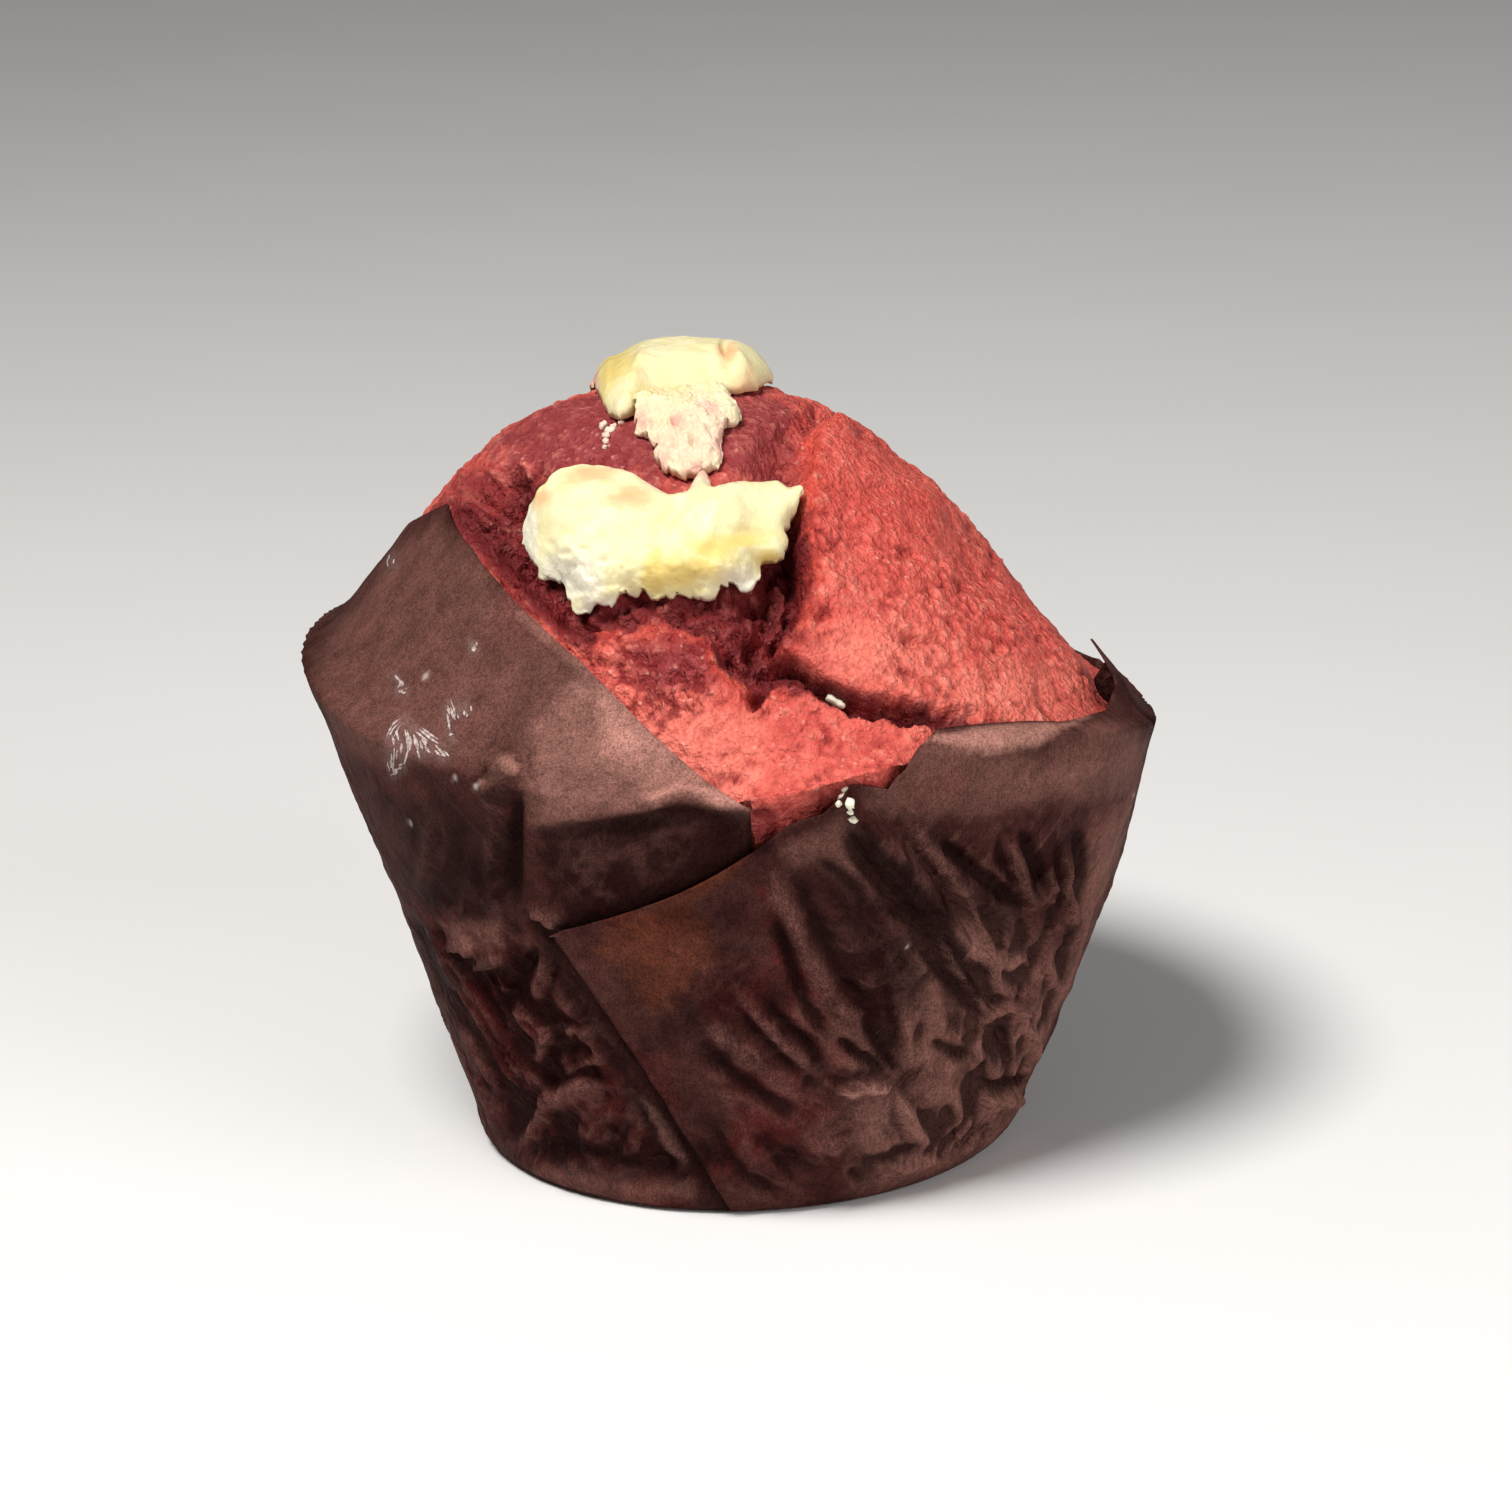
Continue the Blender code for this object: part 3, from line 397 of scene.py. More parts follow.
# near-black painted shade in seams, under folded edges, below creases and in the valleys beside
# folds
PAINTED_SHADE_AREAS = (
    (0.75, 4, ((536, 828), (593, 818), (649, 810), (676, 802), (722, 810), (746, 811), (746, 822),
               (700, 824), (650, 832), (596, 838), (540, 842))),
    (1.0, 4, ((846, 822), (872, 836), (902, 866), (936, 903), (964, 950), (986, 1002), (968, 996),
              (940, 944), (909, 903), (880, 870), (852, 842))),
    (0.9, 5, ((748, 812), (766, 822), (778, 842), (764, 850), (749, 850))),
    (0.8, 3, ((480, 792), (498, 783), (519, 778), (518, 812), (500, 806))),
    (0.7, 3, ((892, 1086), (886, 1100), (900, 1130), (912, 1150), (904, 1150), (884, 1112))),
    (0.7, 3, ((826, 1070), (846, 1066), (862, 1068), (850, 1074), (832, 1080))),
    (0.7, 3, ((966, 1012), (984, 1022), (996, 1020), (984, 1030), (968, 1024))),
    (0.6, 4, ((934, 1038), (958, 1050), (978, 1056), (962, 1062), (940, 1052))),
    (0.6, 4, ((862, 1014), (880, 1046), (898, 1074), (884, 1066), (866, 1036))),
    (0.6, 4, ((462, 950), (480, 958), (500, 960), (506, 948), (512, 962), (490, 976), (468, 966))),
    (0.7, 8, ((522, 926), (548, 936), (590, 1002), (640, 1090), (680, 1166), (668, 1168),
              (620, 1080), (568, 1000), (536, 950))),
    (0.6, 8, ((1000, 1018), (1012, 1024), (1008, 1066), (996, 1060))),
    (0.7, 10, ((800, 850), (850, 890), (905, 930), (930, 990), (900, 1010), (860, 950))),
    (0.5, 8, ((1018, 826), (1034, 860), (1042, 892), (1030, 900), (1014, 860))),
    (0.5, 8, ((930, 832), (956, 852), (985, 880), (1026, 914), (1010, 920), (965, 885))))
BROWN_AREAS = (
    (1.0, 10, ((590, 930), (640, 906), (678, 886), (745, 850), (712, 884), (700, 904), (722, 930),
               (695, 966), (681, 995), (656, 1008), (638, 993), (624, 960))),)
RED_AREAS = (
    (1.0, 9, ((764, 885), (776, 890), (792, 950), (810, 990), (850, 1050), (838, 1060),
              (800, 1020), (776, 960))),
    (0.8, 14, ((745, 1060), (800, 1065), (826, 1100), (800, 1140), (720, 1160), (740, 1100))),
    (0.4, 16, ((545, 1020), (610, 1030), (625, 1080), (570, 1092), (540, 1070))),
    (0.35, 16, ((420, 960), (470, 990), (500, 1060), (460, 1070), (440, 1020))),
    (0.9, 26, ((440, 990), (530, 940), (600, 1040), (650, 1150), (540, 1150), (480, 1100))),
    (0.5, 12, ((900, 775), (960, 768), (960, 800), (905, 812))))
FLOUR_STROKES = (
    ((404, 719), (396, 726), (388, 742)), ((388, 751), (389, 764), (393, 776)),
    ((404, 720), (408, 744), (402, 765)), ((408, 722), (426, 736), (446, 749)),
    ((430, 742), (438, 752), (446, 760)), ((417, 733), (424, 744), (431, 753)),
    ((392, 774), (397, 772), (402, 769)), ((396, 728), (400, 742), (399, 758)),
    ((410, 728), (418, 746), (421, 757)), ((393, 742), (394, 756), (393, 768)),
    ((453, 704), (457, 716), (460, 729)), ((446, 706), (449, 720), (451, 733)),
    ((464, 704), (465, 712), (466, 720)), ((449, 733), (453, 736), (457, 738)),
    ((395, 677), (401, 684), (397, 691)), ((400, 690), (403, 691), (405, 690)),
    ((392, 556), (392, 562), (393, 569)), ((470, 642), (471, 648), (474, 650)))
FLOUR_BANDS = 4
# ribbons of flour: greatest half width and height over the paper in mm, spread round their
# stroke in pixels, and the shortest part of a stroke that one covers
FLOUR_WIDTH = 0.13
FLOUR_LIFT = 0.05
FLOUR_SPREAD = 2.2
FLOUR_SHORTEST = 0.35
RIBBON_POINTS = 9
FLOUR_DOTS = ((470, 648, 2.4), (426, 676, 2.0), (455, 779, 2.0), (410, 823, 1.8),
              (476, 787, 2.6), (905, 942, 2.0), (1133, 795, 1.8))

# ---- cream cheese: outlines as seen in the photograph, clockwise from the left -------------
FRONT_CREAM = (
    (523, 531), (531, 506), (545, 487), (563, 470), (584, 463), (606, 465), (631, 471),
    (653, 485), (671, 495), (688, 492), (697, 474), (706, 471), (713, 490), (725, 485),
    (751, 483), (777, 480), (789, 489), (804, 490), (797, 502), (792, 520), (784, 533),
    (790, 547), (781, 560), (760, 563), (758, 576), (753, 590), (744, 594), (738, 584),
    (726, 582), (720, 590), (716, 600), (706, 602), (695, 596), (673, 596), (661, 600),
    (646, 595), (631, 594), (620, 599), (608, 606), (592, 607), (577, 612), (570, 604),
    (566, 588), (556, 580), (543, 578), (535, 564), (527, 548))
MIDDLE_CREAM = (
    (633, 408), (641, 396), (674, 391), (702, 384), (723, 384), (732, 400), (740, 412),
    (737, 421), (725, 431), (718, 445), (721, 459), (712, 470), (699, 477), (682, 477),
    (669, 473), (660, 467), (653, 457), (658, 447), (647, 438), (637, 431))
# the near edge of the piece on the crest is seen; its far edge is given in plan, in mm
TOP_CREAM_NEAR = (
    (770, 377), (756, 386), (740, 389), (722, 388), (700, 390), (672, 395), (650, 401),
    (634, 411), (618, 415), (606, 406), (600, 394), (594, 382))
TOP_CREAM_FAR = ((-13.0, 4.5), (-12.4, 8.0), (-9.5, 11.4), (-4.5, 13.0), (0.2, 12.4), (3.4, 10.4),
                 (5.0, 7.6))
# each piece's thickness and width of its rounded edge in mm, how ragged its outline is, how
# crumbly it is, and the seed of its unevenness
CREAM_KINDS = {"front_cream": (2.5, 1.5, 0.26, 0.02, 701),
               "middle_cream": (1.9, 1.3, 0.30, 0.55, 901),
               "top_cream": (3.6, 6.5, 0.08, 0.0, 801)}
# its gap over the cake, and how far it sinks into the cake's pits, in mm
CREAM_GAP = 0.25
CREAM_SINK = 1.4
# the share of its thickness that it has between its lobes and on them
CREAM_SWELL = 0.62
LOBE_SWELL = 1.4
# its height at its border, its least height, and the sizes of its lumps and grain, in mm
CREAM_BORDER = 0.3
CREAM_THINNEST = 0.2
CREAM_LUMP_SIZE = 0.85
CREAM_GRAIN_SIZE = 0.45
# middle of each piece, and how far the slope that it lies on leans towards the front
FRONT_PLACE = ((-6.0, -19.5, 67.0), 42.0)
MIDDLE_PLACE = ((-4.8, -9.5, 73.5), 24.0)
TOP_PLACE = ((-4.0, 3.5, 75.0), 0.0)
MAP_REACH = 17.0
MAP_STEP = 0.3
CREAM_COLUMNS = 360
CREAM_RINGS = 60
CREAM_UNDER_RINGS = [0, 4, 12, 28]
# swellings of a piece: (x, y, half width, half height, share of the thickness)
CREAM_LOBES = ((592, 525, 75, 75, 0.50), (668, 545, 48, 70, 0.45), (745, 505, 70, 38, 0.62),
               (800, 512, 34, 34, 0.35), (752, 556, 60, 26, 0.40), (700, 580, 60, 34, 0.25),
               (640, 362, 70, 46, 0.45), (618, 396, 34, 36, 0.40), (705, 356, 80, 38, 0.50),
               (752, 366, 36, 34, 0.35), (688, 415, 60, 40, 0.45), (690, 452, 42, 34, 0.35))
# creases: height in mm, width left and right of the line in pixels, and the line
CREAM_FOLDS = ((-0.7, 8, 12, ((692, 494), (678, 512), (662, 534), (650, 556))),
               (0.45, 10, 24, ((711, 494), (716, 515), (706, 540), (692, 562))),
               (0.55, 26, 7, ((718, 526), (742, 527), (766, 533), (788, 547))),
               (-0.45, 9, 14, ((696, 548), (712, 552), (730, 557), (748, 566))),
               (0.35, 16, 6, ((600, 512), (622, 518), (648, 514))),
               (-0.3, 7, 10, ((548, 528), (575, 540), (598, 537), (618, 545))),
               (0.5, 6, 22, ((612, 352), (606, 372), (604, 398))),
               (0.6, 22, 7, ((648, 352), (640, 376), (628, 402), (616, 412))),
               (-0.7, 9, 9, ((722, 358), (726, 366), (740, 374), (752, 384))),
               (0.5, 8, 8, ((730, 360), (744, 368), (752, 388))))
CREAM_PITS = ((566, 556, 8, 4, 0.7), (584, 551, 9, 3, 0.6), (573, 567, 8, 4, 0.8),
              (590, 577, 8, 4, 0.7), (580, 590, 7, 4, 0.6), (600, 540, 8, 4, 0.35),
              (552, 546, 6, 4, 0.6), (604, 562, 6, 4, 0.5), (612, 583, 6, 4, 0.5),
              (656, 548, 6, 4, 0.25), (598, 492, 4, 4, 0.35), (724, 358, 6, 6, 0.9),
              (655, 424, 8, 6, 0.7), (700, 400, 8, 5, 0.6), (675, 424, 5, 6, 0.7),
              (712, 432, 7, 5, 0.6), (694, 446, 6, 7, 0.6), (672, 448, 6, 5, 0.5))
# stretches where the edge crumbles away slowly: (x, y, half width, half height, width in mm)
CREAM_FRINGES = ((585, 600, 90, 50, 2.5), (700, 600, 110, 40, 2.4), (528, 545, 34, 60, 1.9),
                 (745, 588, 34, 34, 3.2))
CREAM_COLOURS = {
    "toast": ((594, 478, 34, 13), (630, 502, 25, 18), (544, 498, 12, 14), (727, 361, 12, 9),
              (744, 378, 22, 12), (640, 343, 26, 8)),
    # deeper yellow: the cream's own yellowing, and painted shade under its folds and lobes
    "yellow_and_shade": ((714, 550, 34, 18), (690, 572, 40, 18), (742, 544, 34, 12), (614, 366, 30, 28),
               (660, 392, 34, 10), (655, 572, 16, 26), (770, 556, 22, 8)),
    "white": ((572, 580, 44, 34), (610, 604, 50, 14), (742, 586, 28, 20), (527, 545, 14, 44),
              (690, 602, 80, 10), (772, 380, 12, 12)),
    "blush": ((690, 442, 84, 62),),
    "pink": ((622, 412, 22, 12), (744, 386, 20, 9), (592, 366, 8, 16), (676, 424, 9, 10),
             (650, 440, 12, 10), (722, 442, 12, 16), (660, 462, 14, 8), (712, 412, 8, 6),
             (700, 470, 20, 8), (640, 418, 10, 10))}


# ---- loose bits -----------------------------------------------------------------------------
# loose bits as seen in the photograph: x, y, half length in mm, flatness and pinkness
WHITE_BITS = ((604, 427, 0.50, 0.7, 0.6), (610, 431, 0.56, 0.6, 0.4), (614, 427, 0.30, 0.8, 0.5),
              (607, 436, 0.42, 0.7, 0.7), (606, 442, 0.32, 0.8, 0.6), (605, 448, 0.26, 0.8, 0.7),
              (622, 423, 0.40, 0.6, 0.8), (627, 418, 0.30, 0.7, 0.8), (775, 500, 0.5, 0.4, 0.3),
              (777, 493, 0.35, 0.4, 0.3), (772, 524, 0.3, 0.5, 0.3), (836, 700, 0.95, 0.4, 0.0),
              (842, 797, 0.5, 0.6, 0.1), (846, 790, 0.4, 0.7, 0.1), (848, 804, 0.5, 0.8, 0.0),
              (853, 819, 0.42, 0.7, 0.1), (838, 803, 0.3, 0.8, 0.2), (850, 811, 0.3, 0.8, 0.1))
BIT_ROWS = 7
BIT_COLUMNS = 12


# ---- shared mathematics -------------------------------------------------------------------

def ease(value):
    """0 up to 0, 1 from 1 on, and smooth between them."""
    value = np.clip(value, 0.0, 1.0)
    return value * value * (3.0 - 2.0 * value)


def unit(vectors):
    return vectors / np.maximum(np.linalg.norm(vectors, axis=-1, keepdims=True), 1e-9)


def read_off(table, place):
    """Value at a place from a table of (place, value)."""
    return np.interp(place, *np.transpose(table))


def around(angle, values):
    """Smooth value at an angle from the twelve stations round the muffin."""
    table = np.asarray(values, float)
    count = len(table)
    turn = ((np.asarray(angle, float) + 180.0) % 360.0) / STATION_STEP
    index = np.floor(turn).astype(int)
    part = turn - index
    before = table[(index - 1) % count]
    start = table[index % count]
    end = table[(index + 1) % count]
    after = table[(index + 2) % count]
    cubic = 3.0 * (start - end) + after - before
    square = 2.0 * before - 5.0 * start + 4.0 * end - after
    return start + 0.5 * part * (end - before + part * (square + part * cubic))


def side_radius(angle, height):
    foot = around(angle, FOOT_RADIUS)
    shoulder = around(angle, SHOULDER_RADIUS)
    rise = (height - FOOT_HEIGHT) / (around(angle, SHOULDER_HEIGHT) - FOOT_HEIGHT)
    rise = np.clip(rise, 0.0, 1.0)
    wall = foot + (shoulder - foot) * rise + around(angle, SIDE_BULGE) * np.sin(math.pi * rise)
    turn = np.clip(height / FOOT_HEIGHT, 0.0, 1.0)
    curve = np.sqrt(1.0 - (1.0 - turn) ** 2)
    edge = BASE_FLAT_RADIUS + (foot - BASE_FLAT_RADIUS) * curve
    return np.where(height < FOOT_HEIGHT, edge, wall)


def crown_point(angle, share):
    turn = np.radians(angle)
    inward = np.clip(2.0 - share, 0.0, 1.0)
    flare = ease((inward - 0.93) / 0.07)
    dome = around(angle, DOME_RADIUS)
    ring = dome + (around(angle, SHOULDER_RADIUS) - dome) * flare
    x = CROWN_X + (ring * np.cos(turn) - CROWN_X) * inward
    y = CROWN_Y + (ring * np.sin(turn) - CROWN_Y) * inward
    low = around(angle, SHOULDER_HEIGHT)
    rise = (1.0 - inward ** CROWN_POWER) ** around(angle, CROWN_SLOPE)
    return np.stack([x, y, low + (CROWN_HEIGHT - low) * rise], -1)


def side_point(angle, share):
    turn = np.radians(angle)
    height = around(angle, SHOULDER_HEIGHT) * np.clip(share, 0.0, 1.0)
    radius = np.where(share < 0.0, BASE_FLAT_RADIUS * (1.0 + share), side_radius(angle, height))
    return np.stack([radius * np.cos(turn), radius * np.sin(turn), height], -1)


def body_point(angle, share):
    """Point on the outside of the paper, or where it would be over the bare crown."""
    angle, share = np.broadcast_arrays(np.asarray(angle, float), np.asarray(share, float))
    over = (share > 1.0)[..., None]
    return np.where(over, crown_point(angle, share), side_point(angle, share))


def body_normal(angle, share):
    angle, share = np.broadcast_arrays(np.asarray(angle, float), np.asarray(share, float))
    share = np.clip(share, -0.97, 1.97)
    along = body_point(angle + 1.0, share) - body_point(angle - 1.0, share)
    upward = body_point(angle, share + 0.012) - body_point(angle, share - 0.012)
    return unit(np.cross(along, upward))


def near_stretch(start, end, x, y):
    """Distance to a straight stretch of line, and which part of it, 0 to 1, lies nearest."""
    dx = end[0] - start[0]
    dy = end[1] - start[1]
    part = ((x - start[0]) * dx + (y - start[1]) * dy) / (dx * dx + dy * dy + 1e-9)
    part = np.clip(part, 0.0, 1.0)
    return np.hypot(x - start[0] - part * dx, y - start[1] - part * dy), part


def line_profile(points, values, x, y):
    """Distance to a line, which side of its direction, and the values given along it."""
    best = np.full(np.shape(x), 1e9)
    side = np.ones(np.shape(x))
    found = [np.zeros(np.shape(x)) for _ in values]
    for index, (start, end) in enumerate(zip(points, points[1:])):
        away, part = near_stretch(start, end, x, y)
        nearer = away < best
        best = np.where(nearer, away, best)
        turn = (end[0] - start[0]) * (y - start[1]) - (end[1] - start[1]) * (x - start[0])
        side = np.where(nearer, np.sign(turn), side)
        for number, column in enumerate(values):
            value = column[index] + (column[index + 1] - column[index]) * part
            found[number] = np.where(nearer, value, found[number])
    return best, side, found


def line_distance(points, x, y):
    return line_profile(points, (), x, y)[0]


def step_down(distance, depth, width, wall):
    """Drop of a torn edge: steep at the edge, filling again towards the far side."""
    fill = 1.0 - ease((distance - 0.35 * width) / (0.65 * width))
    return -depth * ease(distance / wall) * fill


def scramble(x, y, z, seed):
    """Even random value from 0 to 1 for each whole-numbered corner of a lattice."""
    value = (x * 374761393 + y * 668265263 + z * 2147483647 + seed * 974634777) & 0xFFFFFFFF
    value = ((value ^ (value >> 13)) * 1274126177) & 0xFFFFFFFF
    return ((value ^ (value >> 16)) & 0xFFFFFF) / 0xFFFFFF


def noise(points, size, seed):
    """Smooth random value from -1 to 1 that changes over about a size in millimetres."""
    place = points / size
    corner = np.floor(place).astype(np.int64)
    part = place - corner
    part = part * part * part * (part * (part * 6.0 - 15.0) + 10.0)
    total = np.zeros(points.shape[:-1])
    for dx, dy, dz in itertools.product((0, 1), repeat=3):
        weight = np.where(dx, part[..., 0], 1.0 - part[..., 0])
        weight = weight * np.where(dy, part[..., 1], 1.0 - part[..., 1])
        weight = weight * np.where(dz, part[..., 2], 1.0 - part[..., 2])
        value = scramble(corner[..., 0] + dx, corner[..., 1] + dy, corner[..., 2] + dz, seed)
        total += weight * value
    return 2.0 * total - 1.0


def rough(points, size, seed, octaves=3):
    """Noise with finer noise on it, half as large and half as high each time."""
    total = np.zeros(points.shape[:-1])
    for octave in range(octaves):
        total += noise(points, size / 2.0 ** octave, seed + octave) / 2.0 ** octave
    return total


def cells(points, size, seed):
    """Distances, in cell sizes, to the nearest and second nearest of scattered points."""
    place = points / size
    corner = np.floor(place).astype(np.int64)
    first = np.full(points.shape[:-1], 9.0)
    second = np.full(points.shape[:-1], 9.0)
    for dx, dy, dz in itertools.product((-1, 0, 1), repeat=3):
        x = corner[..., 0] + dx
        y = corner[..., 1] + dy
        z = corner[..., 2] + dz
        away = (place[..., 0] - x - scramble(x, y, z, seed)) ** 2
        away += (place[..., 1] - y - scramble(x, y, z, seed + 1)) ** 2
        away += (place[..., 2] - z - scramble(x, y, z, seed + 2)) ** 2
        away = np.sqrt(away)
        second = np.minimum(second, np.maximum(first, away))
        first = np.minimum(first, away)
    return first, second


def cell_walls(points, size, seed, width):
    """1 on the walls between cells round scattered points, 0 away from them."""
    first, second = cells(points, size, seed)
    return np.exp(-((second - first) / width) ** 2)


def spaced(spans):
    """Values along spans given as (start, end, step)."""
    parts = []
    for start, end, step in spans:
        count = max(1, round((end - start) / step))
        parts.append(np.linspace(start, end, count, endpoint=False))
    return np.concatenate(parts)


# ---- places in the photograph -------------------------------------------------------------

def camera_axes():
    """Place of the camera, and its right, up and forward directions."""
    rise = math.radians(CAMERA_ELEVATION)
    roll = math.radians(CAMERA_ROLL)
    ahead = np.array([0.0, math.cos(rise), -math.sin(rise)])
    level_up = np.array([0.0, math.sin(rise), math.cos(rise)])
    level_right = np.array([1.0, 0.0, 0.0])
    right = level_right * math.cos(roll) - level_up * math.sin(roll)
    up = level_up * math.cos(roll) + level_right * math.sin(roll)
    return np.array(CAMERA_TARGET) - ahead * CAMERA_DISTANCE, right, up, ahead


def seen_at(points):
    """Pixel of the photograph in which each point of the form is seen."""
    place, right, up, ahead = camera_axes()
    away = points - place
    scale = PIXELS_PER_MM * CAMERA_DISTANCE / (away @ ahead)
    middle = PHOTO_SIZE / 2
    return middle + scale * (away @ right), middle - scale * (away @ up)


def sight(px, py):
    """Direction in which a pixel of the photograph looks, one step long straight ahead."""
    _, right, up, ahead = camera_axes()
    middle = PHOTO_SIZE / 2
    scale = PIXELS_PER_MM * CAMERA_DISTANCE
    return ahead + right * (px - middle) / scale - up * (py - middle) / scale


def squareness(points, normals):
    """1 where the form faces the camera, 0 where it is seen edge on, less where it is hidden."""
    return (unit(camera_axes()[0] - points) * normals).sum(-1)


def facing(points, normals):
    """1 where the form faces the camera, easing to 0 where it turns away."""
    return ease(squareness(points, normals) / 0.2)


def outline_distance(border, x, y):
    """How far inside a closed outline each point lies; points outside it count as negative."""
    best = np.full(np.shape(x), 1e9)
    inside = np.zeros(np.shape(x), bool)
    for start, end in zip(border, np.roll(border, -1, 0)):
        best = np.minimum(best, near_stretch(start, end, x, y)[0])
        dx, dy = end - start
        crossed = (start[1] > y) != (end[1] > y)
        place = start[0] + (y - start[1]) * dx / (dy if abs(dy) > 1e-9 else 1e-9)
        inside ^= crossed & (x < place)
    return np.where(inside, best, -best)


def painted(px, py, areas, wobble):
    """How strongly each point lies in the outlined areas, with uneven outlines."""
    total = np.zeros(np.shape(px))
    for strength, soft, outline in areas:
        inside = outline_distance(np.array(outline, float), px, py) + wobble
        total = np.maximum(total, strength * ease(0.5 + 0.5 * inside / soft))
    return total


def patch(px, py, spots, wobble=0.0, middle=1.0, rise=1.8):
    """Soft round patches: 1 in their middles, 0 outside."""
    best = np.zeros(np.shape(px))
    for x, y, wide, high in spots:
        best = np.maximum(best, middle - np.hypot((px - x) / wide, (py - y) / high) + wobble)
    return ease(best * rise)


def soft_patch(px, py, spots, wobble=0.0):
    """Patches that fade slowly from their middles outward."""
    return patch(px, py, spots, wobble, 1.25, 1.0)


def dents(px, py, spots):
    """Sum of small round swellings or hollows of a given height."""
    total = np.zeros(np.shape(px))
    for x, y, wide, high, depth in spots:
        away = np.hypot((px - x) / wide, (py - y) / high)
        total += depth * (1.0 - ease(away / 1.15))
    return total


def beside_line(points, px, py):
    """Distance to a line, which side it lies on, and 1 along the line but 0 at its ends."""
    steps = [math.dist(a, b) for a, b in zip(points, points[1:])]
    lengths = list(itertools.accumulate(steps, initial=0.0))
    away, side, (along,) = line_profile(points, (lengths,), px, py)
    fade = 0.3 * lengths[-1]
    return away, side, ease(along / fade) * ease((lengths[-1] - along) / fade)


def fold_profile(away, side, height, left, right):
    """A crease's height: a tent, with a hollow beyond its steeper side where it is raised."""
    width = np.where(side > 0.0, right, left)
    tent = height * np.clip(1.0 - away / width, 0.0, 1.0)
    if height < 0.0 or abs(left - right) < 0.25 * max(left, right):
        return tent
    steep = (side > 0.0) == (right < left)
    narrow = min(left, right)
    wide = max(left, right)
    fall = height * (1.0 - 1.5 * away / narrow)
    back = -0.5 * height * np.clip(1.0 - (away - narrow) / wide, 0.0, 1.0)
    return np.where(steep, np.where(away < narrow, fall, back), tent)


def creases(px, py, folds):
    """Sum of creases with sharp crests, and masks for painted highlight on their crests and
    painted shade in their hollows.
    """
    total = np.zeros(np.shape(px))
    lit_crest = np.zeros(np.shape(px))
    hollow = np.zeros(np.shape(px))
    for height, left, right, points in folds:
        away, side, there = beside_line(points, px, py)
        shape = there * fold_profile(away, side, height, FOLD_WIDTH * left, FOLD_WIDTH * right)
        total += shape
        raised = height > 0.0
        reach = CREST_WIDTH if raised else HOLLOW_WIDTH
        line = there * abs(height) * np.exp(-(away / reach) ** 2)
        if raised:
            lit_crest = np.maximum(lit_crest, np.clip(0.5 * shape + line, 0.0, 1.0))
        sunk = (0.0 if raised else line) - 1.3 * shape
        hollow = np.maximum(hollow, np.clip(sunk, 0.0, 1.0))
    return total, lit_crest, hollow


# ---- meshes -------------------------------------------------------------------------------

def grid_faces(rows, columns, closed, first=0, reverse=False):
    """Quads of a grid of points, as an array of four corners a row."""
    low = np.arange(rows - 1)[:, None] * columns + first
    here = np.arange(columns if closed else columns - 1)[None, :]
    after = (here + 1) % columns
    quads = np.stack([low + here, low + after, low + columns + after, low + columns + here], -1)
    quads = quads.reshape(-1, 4)
    return quads[:, ::-1] if reverse else quads


def fan_faces(ring, centre, reverse=False):
    after = np.roll(ring, -1)
    tops = np.full(len(ring), centre)
    faces = np.stack([ring, after, tops], -1)
    return faces[:, ::-1] if reverse else faces


def add_piece(name, points, face_groups, look, attributes=None, node=None):
    """A mesh piece that rides on the muffin, with its named values a vertex."""
    mesh = bpy.data.meshes.new(name)
    faces = [tuple(int(corner) for corner in face) for group in face_groups for face in group]
    mesh.from_pydata([tuple(point) for point in points * MM], [], faces)
    mesh.validate()
    mesh.shade_smooth()
    for key, values in (attributes or {}).items():
        layer = mesh.attributes.new(key, "FLOAT", "POINT")
        layer.data.foreach_set("value", np.asarray(values, np.float32).ravel())
    mesh.materials.append(look)
    item = bpy.data.objects.new(name, mesh)
    bpy.context.scene.collection.objects.link(item)
    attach(item, "root")
    if node:
        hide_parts(node)
    return item


# ---- materials ----------------------------------------------------------------------------
PINCH_SIZE = 3.4
# lighter brown laid on raised creases: a little wear, mostly painted sheen where they catch the
# light
WORN_AND_SHEEN_PAPER = (0.165, 0.072, 0.060, 1)


